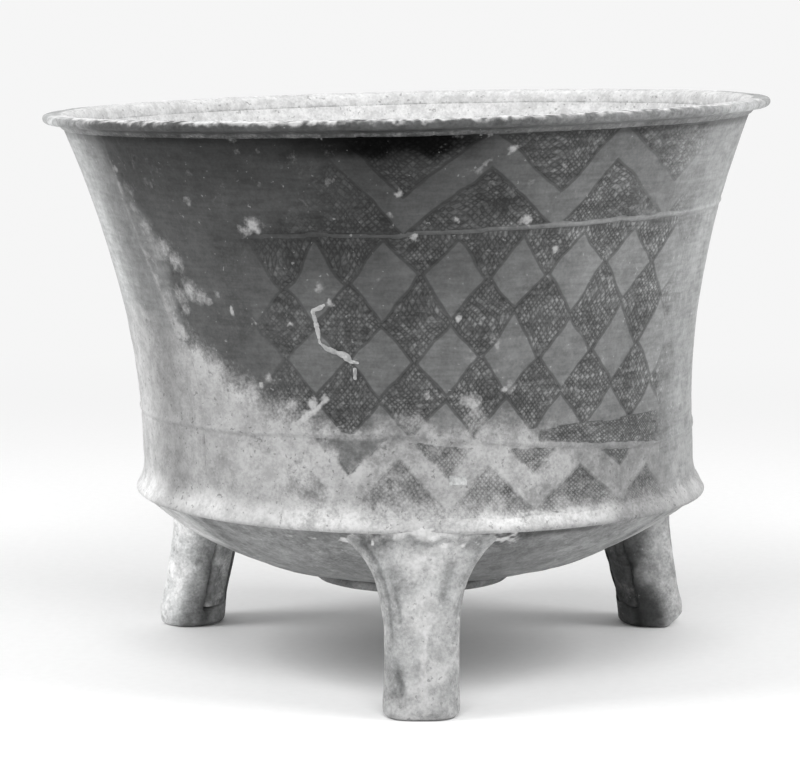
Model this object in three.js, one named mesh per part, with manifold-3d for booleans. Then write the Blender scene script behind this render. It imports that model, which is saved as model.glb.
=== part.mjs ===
// A cast bronze tripod bowl: a flared vessel with an everted lip, a ridge where the wall meets the domed floor,
// a flat disc under the floor, and three legs cast on with their clay cores left in their hollow backs.
// Millimetres, +Z up. The origin is on the ground under the middle of the lip. The front leg points to -Y.
import * as THREE from 'three';
import { ConvexGeometry } from 'three/addons/geometries/ConvexGeometry.js';
import { mergeVertices } from 'three/addons/utils/BufferGeometryUtils.js';
import Module from 'manifold-3d';

const wasm = await Module();
wasm.setup();

// Clearance left wherever two pieces meet
const GAP = 0.3;

// Lip
const LIP_HEIGHT = 160;
const LIP_OVERHANG = 5.6;
const LIP_THICKNESS = 3.2;
const LIP_ROUNDING = 1.1;

// Wall: the waist is its narrowest place, and the neck under the lip its widest
const WALL_THICKNESS = 2.6;
const WAIST_RADIUS = 80.2;
const WAIST_RISE = 19.4;
const WALL_FLARE = 19.2;
const FLARE_POWER = 1.86;

// Ridge between the wall and the floor
const RIDGE_HEIGHT = 50.6;
const RIDGE_TOE = 2.6;
const RIDGE_FLARE = 8.5;
const RIDGE_EDGE = 0.8;
const RIDGE_UNDERCUT = 1.2;

// Domed floor
const FLOOR_THICKNESS = 3;
const FLOOR_SAG = 25.1;
const FLOOR_POWER = 2.7;
const FLOOR_CORNER = 3;

// Raised lines round the wall, below and above the lozenge band
const LINE_RAISE = 0.45;
const LINE_WIDTH = 1.8;
const LOWER_LINE_RISE = 25.2;
const UPPER_LINE_DROP = 29;

// The vessel leans a little to one side of its feet
const LEAN = THREE.MathUtils.degToRad(1.41);
const FEET_OFFSET = 4.55;

// Its foot stands out of line with the wall: moved aside, nearly level, and with the floor's middle moved back
const FOOT_SHIFT = 1.3;
const FOOT_TILT = THREE.MathUtils.degToRad(1.45);
const FLOOR_SHIFT = 3.1;
const FLOOR_BLEND = 10;

// Flat disc under the floor, hollowed on top where it meets the floor
const DISC_RADIUS = 28.6;
const DISC_THICKNESS = 2.2;
const DISC_MIDDLE = 1.4;

// Legs
const LEG_COUNT = 3;
const LEG_OUTSET = 0.8;
const LEG_TUCK = 8.8;
const LEG_TUCK_POWER = 1.35;
const LEG_HALF_WIDTH = 10.2;
const LEG_HALF_DEPTH = 8.5;
const LEG_FLARE = 15;
const LEG_FLARE_START = 15;
const LEG_FLARE_POWER = 3;
const LEG_ROUNDING = 1.8;
const LEG_SQUARENESS = 2.5;

// Clay core in the hollow back of each leg
const CORE_WIDTH = 9;
const CORE_DEPTH = 7;
const CORE_FOOT_SHARE = 0.12;
const CORE_RECESS = 1.2;

// Spacers that held the casting core, flush with both faces of the wall
const CHAPLET_WIDTH = 5;
const CHAPLET_TALL = 2.8;
const CHAPLET_RISE = 13;
const CHAPLET_TURN = 7.8;
const CHAPLET_COUNT = 3;

// Pale fill in the forked crack: degrees from the front, and millimetres above the lower raised line
const CRACK_WIDTH = 1.5;
const FORK_WIDTH = 1;
const CRACK_DEPTH = 1.1;
const CRACK_PROUD = 0.35;
const CRACK_ROUTE = [
  [-15.6, 35.5], [-17.9, 34.7], [-17.4, 31.6], [-17.2, 28.4], [-17.1, 25.3],
  [-15.7, 23.9], [-14.2, 23.1], [-12.6, 22.5], [-11.4, 20.3], [-9.9, 20],
];
const FORK_ROUTE = [[-11.4, 20.3], [-11.1, 18.5], [-11, 15.6]];

// Steps of the round and curved faces
const ROUND_STEPS = 60;
const WALL_STEPS = 10;
const RIDGE_STEPS = 3;
const FLOOR_STEPS = 8;
const LEG_SIDES = 24;
const LEG_STEPS = 10;

const neckRadius = WAIST_RADIUS + WALL_FLARE;
const neckHeight = LIP_HEIGHT - LIP_THICKNESS / 2;
const lipRadius = neckRadius + LIP_OVERHANG;
const lipTop = LIP_HEIGHT + LIP_THICKNESS / 2;
const ridgeRadius = WAIST_RADIUS + RIDGE_TOE;
const waistHeight = RIDGE_HEIGHT + WAIST_RISE;
const floorEdgeRadius = ridgeRadius - RIDGE_UNDERCUT;
const floorEdgeHeight = RIDGE_HEIGHT - 1.5 * RIDGE_EDGE;
const lineHeights = [RIDGE_HEIGHT + LOWER_LINE_RISE, LIP_HEIGHT - UPPER_LINE_DROP];
const legTop = RIDGE_HEIGHT + RIDGE_EDGE;
const coreBottom = RIDGE_HEIGHT * CORE_FOOT_SHARE;

const bronze = new THREE.MeshStandardMaterial({ color: 0x6b7072, roughness: 0.72, metalness: 0.25 });
const discBronze = new THREE.MeshStandardMaterial({ color: 0x7d8184, roughness: 0.74, metalness: 0.25 });
const legBronze = new THREE.MeshStandardMaterial({ color: 0x9b9da0, roughness: 0.78, metalness: 0.2 });
const spacerBronze = new THREE.MeshStandardMaterial({ color: 0xa9abab, roughness: 0.7, metalness: 0.25 });
const clay = new THREE.MeshStandardMaterial({ color: 0x5b5650, roughness: 0.95, metalness: 0 });
const paleFill = new THREE.MeshStandardMaterial({ color: 0xd6d6d8, roughness: 0.9, metalness: 0 });

// A closed geometry as a solid that can be joined and cut
function solidOf(geometry) {
  const plain = geometry.index ? geometry.toNonIndexed() : geometry.clone();
  plain.deleteAttribute('normal');
  plain.deleteAttribute('uv');
  const merged = mergeVertices(plain, 1e-4);
  const vertProperties = Float32Array.from(merged.attributes.position.array);
  const triVerts = Uint32Array.from(merged.index.array);
  return new wasm.Manifold(new wasm.Mesh({ numProp: 3, vertProperties, triVerts }));
}

function meshOf(name, solid, material) {
  const { vertProperties, triVerts } = solid.getMesh();
  const geometry = new THREE.BufferGeometry();
  geometry.setAttribute('position', new THREE.BufferAttribute(Float32Array.from(vertProperties), 3));
  geometry.setIndex(new THREE.BufferAttribute(Uint32Array.from(triVerts), 1));
  geometry.computeVertexNormals();
  const mesh = new THREE.Mesh(geometry, material);
  mesh.name = name;
  return mesh;
}

// Moves every point of the vessel below the upper raised line to where its foot and floor have settled
function settled(geometry) {
  const spots = geometry.attributes.position;
  for (let i = 0; i < spots.count; i += 1) {
    const [x, y, z] = [spots.getX(i), spots.getY(i), spots.getZ(i)];
    const low = THREE.MathUtils.clamp((lineHeights[1] - z) / (lineHeights[1] - RIDGE_HEIGHT), 0, 1);
    const level = 1 - THREE.MathUtils.smoothstep(z, RIDGE_HEIGHT, lineHeights[0]);
    const inner = Math.max(0, 1 - (x ** 2 + y ** 2) / ridgeRadius ** 2);
    const under = 1 - THREE.MathUtils.smoothstep(z, RIDGE_HEIGHT - FLOOR_BLEND, RIDGE_HEIGHT);
    spots.setX(i, x + FOOT_SHIFT * low - FLOOR_SHIFT * inner * under);
    spots.setZ(i, z - x * Math.tan(FOOT_TILT) * level);
  }
  return geometry;
}

// A profile of [radius, height], from the axis back to the axis, turned round Z and settled
function turned(profile) {
  const points = profile.map(([radius, height]) => new THREE.Vector2(radius, height));
  return settled(new THREE.LatheGeometry(points, ROUND_STEPS).rotateX(Math.PI / 2));
}

// Rings of points, each with the same count, joined side by side and closed at both ends
function skinned(rings) {
  const count = rings[0].length;
  const index = [];
  for (let row = 0; row + 1 < rings.length; row += 1) {
    for (let i = 0; i < count; i += 1) {
      const here = row * count + i;
      const next = row * count + ((i + 1) % count);
      index.push(here, next, next + count);
      index.push(here, next + count, here + count);
    }
  }
  const last = (rings.length - 1) * count;
  for (let i = 1; i + 1 < count; i += 1) {
    index.push(0, i + 1, i);
    index.push(last, last + i, last + i + 1);
  }
  const geometry = new THREE.BufferGeometry().setFromPoints(rings.flat());
  return geometry.setIndex(index);
}

// Outer radius of the wall: a power curve from the waist to the neck, and a square one down to the ridge
function wallRadius(height) {
  const above = Math.max(0, (height - waistHeight) / (neckHeight - waistHeight));
  const below = Math.max(0, (RIDGE_HEIGHT + RIDGE_FLARE - height) / RIDGE_FLARE);
  return WAIST_RADIUS + WALL_FLARE * above ** FLARE_POWER + RIDGE_TOE * below ** 2;
}

// Height of the floor's outer face: almost flat in the middle, and steeper towards the ridge
function floorHeight(radius) {
  return floorEdgeHeight - FLOOR_SAG * (1 - (radius / floorEdgeRadius) ** FLOOR_POWER);
}

function floorPoints(reach, raise) {
  const points = [];
  for (let i = 0; i <= FLOOR_STEPS; i += 1) {
    const radius = (reach * i) / FLOOR_STEPS;
    points.push([radius, floorHeight(radius) + raise]);
  }
  return points;
}

// The floor's outer face and the ridge's nose, grown by a clearance
function undersideProfile(clearance) {
  return [
    ...floorPoints(floorEdgeRadius, -clearance),
    [ridgeRadius - RIDGE_EDGE / 4 + clearance, RIDGE_HEIGHT - RIDGE_EDGE - clearance],
    [ridgeRadius + clearance, RIDGE_HEIGHT - RIDGE_EDGE / 2],
  ];
}

// The wall's outer face from the ridge up to the lip, with its raised lines
function wallProfile() {
  const heights = [];
  for (let i = 0; i < RIDGE_STEPS; i += 1) heights.push(RIDGE_HEIGHT + (RIDGE_FLARE * i) / RIDGE_STEPS);
  const start = RIDGE_HEIGHT + RIDGE_FLARE;
  for (let i = 0; i <= WALL_STEPS; i += 1) heights.push(start + ((neckHeight - start) * i) / WALL_STEPS);
  const points = heights
    .filter((height) => lineHeights.every((middle) => Math.abs(height - middle) > LINE_WIDTH))
    .map((height) => [wallRadius(height), height]);
  for (const middle of lineHeights) {
    for (const [side, raise] of [[-0.5, 0], [-0.2, LINE_RAISE], [0.2, LINE_RAISE], [0.5, 0]]) {
      const height = middle + side * LINE_WIDTH;
      points.push([wallRadius(height) + raise, height]);
    }
  }
  return points.sort((a, b) => a[1] - b[1]);
}

// The lip from its underside to the start of the inner face
function lipProfile() {
  return [
    [lipRadius - LIP_ROUNDING, neckHeight],
    [lipRadius, LIP_HEIGHT - LIP_THICKNESS / 8],
    [lipRadius, LIP_HEIGHT + LIP_THICKNESS / 8],
    [lipRadius - LIP_ROUNDING, lipTop],
    [neckRadius - LIP_ROUNDING, lipTop],
    [neckRadius - WALL_THICKNESS, neckHeight],
  ];
}

// The inner face down the wall, round the corner and along the floor to the axis
function innerProfile() {
  const points = [];
  const bottom = RIDGE_HEIGHT + FLOOR_THICKNESS + FLOOR_CORNER;
  for (let i = 1; i <= WALL_STEPS; i += 1) {
    const height = neckHeight + ((bottom - neckHeight) * i) / WALL_STEPS;
    points.push([wallRadius(Math.max(height, waistHeight)) - WALL_THICKNESS, height]);
  }
  const reach = WAIST_RADIUS - WALL_THICKNESS - FLOOR_CORNER;
  return [...points, ...floorPoints(reach, FLOOR_THICKNESS).reverse()];
}

// A point on the wall's outer face
function wallPoint(turn, height) {
  const angle = THREE.MathUtils.degToRad(turn);
  const radius = wallRadius(height);
  return new THREE.Vector3(radius * Math.sin(angle), -radius * Math.cos(angle), height);
}

// A bar along a route on the wall, from a depth below its face to a height above it, grown by a clearance
function wallBar(route, width, low, high, grow) {
  const middles = route.map(([turn, rise]) => wallPoint(turn, lineHeights[0] + rise));
  const rings = middles.map((middle, i) => {
    const before = middles[Math.max(i - 1, 0)];
    const after = middles[Math.min(i + 1, middles.length - 1)];
    const along = after.clone().sub(before).normalize();
    const out = new THREE.Vector3(middle.x, middle.y, 0).normalize();
    const across = new THREE.Vector3().crossVectors(out, along).normalize();
    const end = (i === 0 ? -grow : 0) + (i === middles.length - 1 ? grow : 0);
    const half = width / 2 + grow;
    return [[-half, low - grow], [half, low - grow], [half, high], [-half, high]].map(([side, depth]) => (
      middle.clone().addScaledVector(across, side).addScaledVector(out, depth).addScaledVector(along, end)
    ));
  });
  return solidOf(settled(skinned(rings)));
}

// A block through the wall where a spacer sits
function chapletBlock(turn, grow) {
  const centre = wallPoint(turn, RIDGE_HEIGHT + CHAPLET_RISE);
  const size = [CHAPLET_WIDTH + 2 * grow, 5 * WALL_THICKNESS, CHAPLET_TALL + 2 * grow];
  const block = new THREE.BoxGeometry(...size).rotateZ(THREE.MathUtils.degToRad(turn));
  return solidOf(settled(block.translate(centre.x, centre.y, centre.z)));
}

// Distance of a leg's middle from the axis of the feet: it tucks in towards the floor of the vessel
function legReach(height) {
  return WAIST_RADIUS + LEG_OUTSET - LEG_TUCK * (height / RIDGE_HEIGHT) ** LEG_TUCK_POWER;
}

// A rounded rectangle across a leg, drawn in by an inset where the foot is rounded
function legRing(height, inset) {
  const share = Math.max(0, (height - LEG_FLARE_START) / (RIDGE_HEIGHT - LEG_FLARE_START));
  const halfWidth = LEG_HALF_WIDTH + LEG_FLARE * share ** LEG_FLARE_POWER - inset;
  const halfDepth = LEG_HALF_DEPTH - inset;
  const rounded = (value) => Math.sign(value) * Math.abs(value) ** (2 / LEG_SQUARENESS);
  const ring = [];
  for (let i = 0; i < LEG_SIDES; i += 1) {
    const angle = (2 * Math.PI * i) / LEG_SIDES;
    const x = halfWidth * rounded(Math.cos(angle));
    const y = halfDepth * rounded(Math.sin(angle)) - legReach(height);
    ring.push(new THREE.Vector3(x, y, height));
  }
  return ring;
}

function legGeometry() {
  const rings = [legRing(0, LEG_ROUNDING), legRing(0.3 * LEG_ROUNDING, 0.3 * LEG_ROUNDING)];
  for (let i = 0; i <= LEG_STEPS; i += 1) {
    rings.push(legRing(LEG_ROUNDING + ((legTop - LEG_ROUNDING) * i) / LEG_STEPS, 0));
  }
  return skinned(rings);
}

// The space in a leg's back, from the solid foot to the leg's top, with its open side moved by a reach
function backGeometry(grow, reach) {
  const corners = [];
  for (const height of [coreBottom - grow, legTop + grow]) {
    const back = LEG_HALF_DEPTH - legReach(height);
    for (const x of [-CORE_WIDTH / 2 - grow, CORE_WIDTH / 2 + grow]) {
      corners.push(new THREE.Vector3(x, back - CORE_DEPTH - grow, height));
      corners.push(new THREE.Vector3(x, back + reach, height));
    }
  }
  return new ConvexGeometry(corners);
}

// The vessel's own frame leans about its foot point, so that the middle of the lip is over the origin
const leaning = new THREE.Matrix4()
  .makeTranslation(LIP_HEIGHT * Math.sin(LEAN), 0, 0)
  .multiply(new THREE.Matrix4().makeRotationY(-LEAN));

// Everything that a leg stays clear of: the floor, the ridge's nose and all that is above them
function legLimit() {
  const ceiling = legTop + LEG_HALF_DEPTH + lipRadius * (Math.sin(LEAN) + Math.sin(FOOT_TILT));
  const profile = [...undersideProfile(GAP), [lipRadius, RIDGE_HEIGHT - RIDGE_EDGE / 2], [lipRadius, ceiling]];
  return turned([...profile, [0, ceiling]]).applyMatrix4(leaning);
}

// A leg and its core, cut to the floor's shape and turned to their place
function legPieces(name, turn) {
  const place = new THREE.Matrix4()
    .makeTranslation(FEET_OFFSET, 0, 0)
    .multiply(new THREE.Matrix4().makeRotationZ(turn));
  const placed = (geometry) => solidOf(geometry.applyMatrix4(place));
  const limit = solidOf(legLimit());
  const leg = placed(legGeometry()).subtract(placed(backGeometry(GAP, LEG_HALF_DEPTH))).subtract(limit);
  const core = placed(backGeometry(0, -CORE_RECESS)).subtract(limit);
  return [meshOf(name, leg, legBronze), meshOf(`${name}_core`, core, clay)];
}

function discSolid() {
  const bottom = floorHeight(0) - GAP - DISC_MIDDLE;
  const top = floorPoints(DISC_RADIUS, -GAP).map(([radius, height]) => (
    [radius, Math.min(height, bottom + DISC_THICKNESS)]
  ));
  return solidOf(turned([[0, bottom], [DISC_RADIUS, bottom], ...top.reverse()]));
}

const shell = solidOf(turned([...undersideProfile(0), ...wallProfile(), ...lipProfile(), ...innerProfile()]));
const crack = wallBar(CRACK_ROUTE, CRACK_WIDTH, -CRACK_DEPTH, CRACK_PROUD, 0)
  .add(wallBar(FORK_ROUTE, FORK_WIDTH, -CRACK_DEPTH, CRACK_PROUD, 0));

const vessel = new THREE.Group();
vessel.applyMatrix4(leaning);

let bowl = shell
  .subtract(wallBar(CRACK_ROUTE, CRACK_WIDTH, -CRACK_DEPTH, WALL_THICKNESS, GAP))
  .subtract(wallBar(FORK_ROUTE, FORK_WIDTH, -CRACK_DEPTH, WALL_THICKNESS, GAP));
for (let i = 0; i < CHAPLET_COUNT; i += 1) {
  const turn = CHAPLET_TURN + (360 * i) / CHAPLET_COUNT;
  bowl = bowl.subtract(chapletBlock(turn, GAP));
  vessel.add(meshOf(`wall_chaplet_${i + 1}`, shell.intersect(chapletBlock(turn, 0)), spacerBronze));
}
vessel.add(meshOf('bowl_body', bowl, bronze));
vessel.add(meshOf('crack_fill', crack, paleFill));
vessel.add(meshOf('base_disc', discSolid(), discBronze));

const tripodBowl = new THREE.Group();
tripodBowl.add(vessel);
['front_leg', 'rear_right_leg', 'rear_left_leg'].forEach((name, i) => {
  tripodBowl.add(...legPieces(name, (2 * Math.PI * i) / LEG_COUNT));
});
export default tripodBowl;
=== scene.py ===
import math

import bpy
import numpy as np
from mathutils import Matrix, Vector


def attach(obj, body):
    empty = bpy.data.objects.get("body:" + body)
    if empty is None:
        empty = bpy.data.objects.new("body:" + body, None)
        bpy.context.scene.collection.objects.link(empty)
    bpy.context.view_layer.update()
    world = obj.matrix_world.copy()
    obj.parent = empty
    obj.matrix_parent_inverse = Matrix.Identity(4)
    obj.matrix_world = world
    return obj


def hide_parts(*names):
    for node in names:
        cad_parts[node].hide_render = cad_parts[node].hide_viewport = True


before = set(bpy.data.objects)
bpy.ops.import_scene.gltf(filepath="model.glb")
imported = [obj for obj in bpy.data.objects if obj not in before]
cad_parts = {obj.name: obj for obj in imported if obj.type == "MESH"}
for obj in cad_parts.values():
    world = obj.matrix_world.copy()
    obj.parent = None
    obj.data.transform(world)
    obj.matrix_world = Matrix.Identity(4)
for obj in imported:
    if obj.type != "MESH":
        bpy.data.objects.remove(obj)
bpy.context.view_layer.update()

# The wall of the vessel: cast bronze, about 2.6 mm thick, in three mould sections whose seams still show.
# It flares from a waist up to the lip and down to the ridge, and carries three engraved bands between
# raised lines: a zigzag stripe, a net of smooth lozenges among cross-hatching, and a smaller zigzag.
LEAN = math.radians(1.41)
LIP_HEIGHT = 160.0
WAIST_RADIUS = 80.2
WAIST_HEIGHT = 70.0
NECK_HEIGHT = 158.4
WALL_FLARE = 19.2
FLARE_POWER = 1.86
RIDGE_HEIGHT = 50.6
RIDGE_TOE = 2.6
RIDGE_FLARE = 8.5
NOSE_HEIGHT = 50.5
NOSE_DEPTH = 1.2
NOSE_DROP = 1.1
UPPER_LINE = 131.2
LOWER_LINE = 75.8
FOOT_SHIFT = 1.3
FOOT_SLOPE = 0.0253
FLOOR_SHIFT = 3.1
FLOOR_BLEND = 10.0
SKIN = 1.1
MM = 0.001
LATTICE_FACTORS = (73856093, 19349663, 83492791, 2654435)
MIXING = ((13, 1274126177), (15, 668265263))
LARGEST = 0x7FFFFFFF


def ramp(value, start, end):
    """Smoothstep: 0 at start, 1 at end, 3t^2 - 2t^3 between."""
    t = np.clip((value - start) / (end - start), 0, 1)
    return t * t * (3 - 2 * t)


def bell(value, width):
    """exp(-(value / width)^2)."""
    return np.exp(-((value / width) ** 2))


def window(value, rise_from, rise_to, fall_from, fall_to):
    """0 outside a span and 1 inside it: a ramp up at its start times a ramp down at its end."""
    return ramp(value, rise_from, rise_to) * ramp(value, fall_to, fall_from)


def lattice(corner, seed):
    """A fixed random number from -1 to 1 for each corner of a cubic lattice, by mixing its three numbers."""
    mixed = 0
    for number, factor in zip((*corner, seed), LATTICE_FACTORS):
        mixed = mixed ^ (number * factor)
    for shift, factor in MIXING:
        mixed = ((mixed ^ (mixed >> shift)) * factor) & LARGEST
    return mixed / (LARGEST // 2) - 1.0


def noise(points, size, seed, octaves=4):
    """Lattice numbers joined by smoothsteps, summed over octaves that halve in size and in weight."""
    total = np.zeros(points.shape[:-1])
    weight = 1.0
    for octave in range(octaves):
        place = points / size * 2.0 ** octave
        corner = np.floor(place).astype(np.int64)
        part = place - corner
        part = part * part * (3 - 2 * part)
        x, y, z = (corner[..., axis] for axis in range(3))
        u, v, w = (part[..., axis] for axis in range(3))
        value = np.zeros_like(total)
        for dx, dy, dz in np.ndindex(2, 2, 2):
            share = (u if dx else 1 - u) * (v if dy else 1 - v) * (w if dz else 1 - w)
            value += share * lattice((x + dx, y + dy, z + dz), seed + octave)
        total += weight * value
        weight /= 2
    return total


def around(turn, radius, height):
    """Points at a turn in degrees from the front, positive to the right, at a radius and a height."""
    angle = np.radians(turn)
    return np.stack([radius * np.sin(angle), -radius * np.cos(angle), height + 0 * angle], -1)


def settled(points):
    """The foot stands out of line: x moves aside by a straight ramp down from the upper raised line, z loses
    a slope of x below the lower one, and inside the ridge x moves back by one minus the radius squared."""
    x, y, z = points[..., 0], points[..., 1], points[..., 2]
    low = np.clip((UPPER_LINE - z) / (UPPER_LINE - RIDGE_HEIGHT), 0, 1)
    level = 1 - ramp(z, RIDGE_HEIGHT, LOWER_LINE)
    inner = np.clip(1 - (x ** 2 + y ** 2) / (WAIST_RADIUS + RIDGE_TOE) ** 2, 0, None)
    under = 1 - ramp(z, RIDGE_HEIGHT - FLOOR_BLEND, RIDGE_HEIGHT)
    aside = FOOT_SHIFT * low - FLOOR_SHIFT * inner * under
    return np.stack([x + aside, y, z - x * FOOT_SLOPE * level], -1)


def leaned(points):
    """The settled x and z turned by the lean, in metres: x cos + (lip height - z) sin, and x sin + z cos."""
    points = settled(points)
    x, y, z = points[..., 0], points[..., 1], points[..., 2]
    across = x * math.cos(LEAN) + (LIP_HEIGHT - z) * math.sin(LEAN)
    return np.stack([across, y, x * math.sin(LEAN) + z * math.cos(LEAN)], -1) * MM


def wall_radius(height):
    """Waist radius, plus a power of the height above the waist, plus a square law down to the ridge,
    whose nose is a quarter of an ellipse."""
    above = np.clip((height - WAIST_HEIGHT) / (NECK_HEIGHT - WAIST_HEIGHT), 0, None)
    below = np.clip((RIDGE_HEIGHT + RIDGE_FLARE - height) / RIDGE_FLARE, 0, 1)
    nose = np.clip((NOSE_HEIGHT - height) / NOSE_DROP, 0, 1)
    flare = WALL_FLARE * above ** FLARE_POWER + RIDGE_TOE * below ** 2
    return WAIST_RADIUS + flare - NOSE_DEPTH * (1 - np.sqrt(1 - nose ** 2))


# Grids of points made into closed meshes
STRIP_MARGIN = 0.004
STRIP_EDGE = 0.01
SHARP_ANGLE = math.radians(65)
COARSE = 8
SPARSE = (slice(None, None, COARSE), slice(None, None, COARSE))


def strip_uv(rows, cols, strips):
    """Corners of each face of a grid on the bake map: the columns are cut into strips stacked upwards."""
    row, col = np.meshgrid(np.arange(rows), np.arange(cols), indexing="ij")
    per_strip = cols / strips
    strip = np.floor(col / per_strip)
    local = col - strip * per_strip
    corners = []
    for di, dj in ((0, 0), (0, 1), (1, 1), (1, 0)):
        u = STRIP_MARGIN + (1 - 2 * STRIP_MARGIN) * (local + dj) / per_strip
        v = (strip + STRIP_EDGE + (1 - 2 * STRIP_EDGE) * (row + di) / rows) / strips
        corners.append(np.stack([u, v], -1))
    return np.stack(corners, 2).reshape(-1, 4, 2)


def quads(index):
    """The four corners of each face of a grid of point numbers."""
    return np.stack([index[:-1, :-1], index[:-1, 1:], index[1:, 1:], index[1:, :-1]], -1).reshape(-1, 4)


def padded(values, spare):
    """Named values at the points of the face, with their mean at the spare points behind it."""
    named = (values or {}).items()
    return {label: np.concatenate([grid.ravel(), np.full(spare, grid.mean())]) for label, grid in named}


def mesh_object(name, points, faces, uvs, attributes, planes, turned):
    """A mesh from points, face groups of equal length, bake map corners and named values at the points.
    Turned swaps which side of the faces is the outside."""
    if turned:
        faces = [group[:, ::-1] for group in faces]
        uvs = uvs[:, ::-1]
    mesh = bpy.data.meshes.new(name)
    mesh.vertices.add(len(points))
    mesh.vertices.foreach_set("co", points.astype(np.float32).ravel())
    loops = np.concatenate([group.ravel() for group in faces])
    totals = np.concatenate([np.full(len(group), group.shape[1]) for group in faces])
    mesh.loops.add(len(loops))
    mesh.loops.foreach_set("vertex_index", loops.astype(np.int32))
    mesh.polygons.add(len(totals))
    starts = np.concatenate([[0], np.cumsum(totals)[:-1]])
    mesh.polygons.foreach_set("loop_start", starts.astype(np.int32))
    mesh.polygons.foreach_set("use_smooth", np.ones(len(totals), bool))
    layer = mesh.uv_layers.new(name="OFBake")
    flat = np.full((len(loops), 2), 0.5, np.float32)
    flat[:uvs.size // 2] = uvs.reshape(-1, 2)
    layer.data.foreach_set("uv", flat.ravel())
    for kind, key, named in (("FLOAT", "value", attributes), ("FLOAT_VECTOR", "vector", planes)):
        for label, values in named.items():
            store = mesh.attributes.new(label, kind, "POINT")
            store.data.foreach_set(key, values.astype(np.float32).ravel())
    mesh.update(calc_edges=True)
    mesh.validate()
    mesh.set_sharp_from_angle(angle=SHARP_ANGLE)
    made = bpy.data.objects.new(name, mesh)
    bpy.context.scene.collection.objects.link(made)
    return made


def spans(near, far):
    """The fine columns that lie along each coarse column of a rim."""
    step = (near - 1) // (far - 1)
    return np.arange(far - 1)[:, None] * step + np.arange(step + 1)


def sheet_solid(name, face, back, wrap=False, pole=False, turned=False, strips=1, values=None, planes=None):
    """A thin closed solid: a fine face grid, a coarse back grid, and rim faces with one fine side.
    Wrap joins the last column to the first. Pole closes the first row to a point on each side."""
    rows, cols = face.shape[:2]
    back_rows, back_cols = back.shape[:2]
    near = np.arange(rows * cols).reshape(rows, cols)
    far = rows * cols + np.arange(back_rows * back_cols).reshape(back_rows, back_cols)
    if wrap:
        near = np.hstack([near, near[:, :1]])
        far = np.hstack([far, far[:, :1]])
    rims = []
    tips = np.zeros((0, 3))
    along_rows = spans(near.shape[1], far.shape[1])
    if pole:
        tips = np.stack([face[0].mean(0), back[0].mean(0)])
        tip = rows * cols + back_rows * back_cols
        rims.append(np.stack([near[0, 1:], near[0, :-1], np.full(near.shape[1] - 1, tip)], -1))
        rims.append(np.stack([far[0, :-1], far[0, 1:], np.full(far.shape[1] - 1, tip + 1)], -1))
    else:
        rims.append(np.hstack([near[0][along_rows][:, ::-1], far[0, :-1, None], far[0, 1:, None]]))
    rims.append(np.hstack([near[-1][along_rows], far[-1, 1:, None], far[-1, :-1, None]]))
    if not wrap:
        up = spans(near.shape[0], far.shape[0])
        rims.append(np.hstack([near[:, 0][up], far[1:, 0, None], far[:-1, 0, None]]))
        rims.append(np.hstack([near[:, -1][up][:, ::-1], far[:-1, -1, None], far[1:, -1, None]]))
    faces = [quads(near), quads(far.T), *rims]
    uvs = strip_uv(near.shape[0] - 1, near.shape[1] - 1, strips)
    points = np.concatenate([face.reshape(-1, 3), back.reshape(-1, 3), tips])
    spare = len(points) - rows * cols
    vectors = {k: np.concatenate([v.reshape(-1, 3), np.zeros((spare, 3))]) for k, v in (planes or {}).items()}
    return mesh_object(name, points, faces, uvs, padded(values, spare), vectors, turned)


def ring_solid(name, grid, loop=False, strips=1, values=None):
    """A closed skin from rings of points: joined end to end in a loop, or closed to a point at both ends."""
    rows, cols = grid.shape[:2]
    near = np.arange(rows * cols).reshape(rows, cols)
    near = np.hstack([near, near[:, :1]])
    points = grid.reshape(-1, 3)
    tips = []
    if loop:
        near = np.vstack([near, near[:1]])
    else:
        for row, tip, order in ((0, 0, -1), (-1, 1, 1)):
            first, second = (near[row, :-1], near[row, 1:])[::order]
            tips.append(np.stack([first, second, np.full(cols, rows * cols + tip)], -1))
        points = np.concatenate([points, grid[[0, -1]].mean(1)])
    uvs = strip_uv(near.shape[0] - 1, cols, strips)
    attributes = padded(values, len(points) - rows * cols)
    return mesh_object(name, points, [quads(near), *tips], uvs, attributes, {}, False)


# The engraved bands. Each returns the distance in millimetres to the nearest edge of a smooth field,
# positive inside it and negative in the hatching, and the two hatching coordinates, one line per unit.
# The engraver's spacing is uneven: the corners that show are where the photograph has them.
ZIGZAG_CORNERS = (-180, -36.9, -24.2, -11.9, -0.7, 13.6, 26.0, 36.1, 51.1, 63.5, 77.1, 180)
ZIGZAG_STEPS = (-14.13, -3, -2, -1, 0, 1, 2, 3, 4, 5, 6, 13.87)
ZIGZAG_BOTTOM = 130.8
ZIGZAG_RISE = 17.3
ZIGZAG_STRIPE = 9.8
SMALL_ZIGZAG_CORNERS = (-180, -32, -22.5, -12.7, -2.8, 6.6, 15.0, 23.8, 33.9, 44.7, 52.5, 60, 180)
SMALL_ZIGZAG_STEPS = (-20, -4, -3, -2, -1, 0, 1, 2, 3, 4, 5, 6, 18)
SMALL_ZIGZAG_BOTTOM = 54.5
SMALL_ZIGZAG_RISE = 16.0
SMALL_ZIGZAG_STRIPE = 9.5
ZIGZAG_HATCHES = 11
SMALL_ZIGZAG_HATCHES = 10
LOZENGE_CROSSINGS = (-180, -23.0, -10.5, 2.0, 14.2, 25.5, 37.2, 49.5, 61.5, 180)
LOZENGE_COLUMNS = (-15.1, -2, -1, 0, 1, 2, 3, 4, 5, 14.9)
LOZENGE_SHEAR = 0.05
LOZENGE_WIDTH = 13.7
LOZENGE_ROWS = (76.0, 86.0, 95.8, 108.0, 119.0, 130.0)
HATCHES = 12
LOZENGE_MARGIN = 0.5
LOZENGE_SPAN = 75
SHEAR_HEIGHT = 119
ROW_SPREAD = 6
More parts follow.
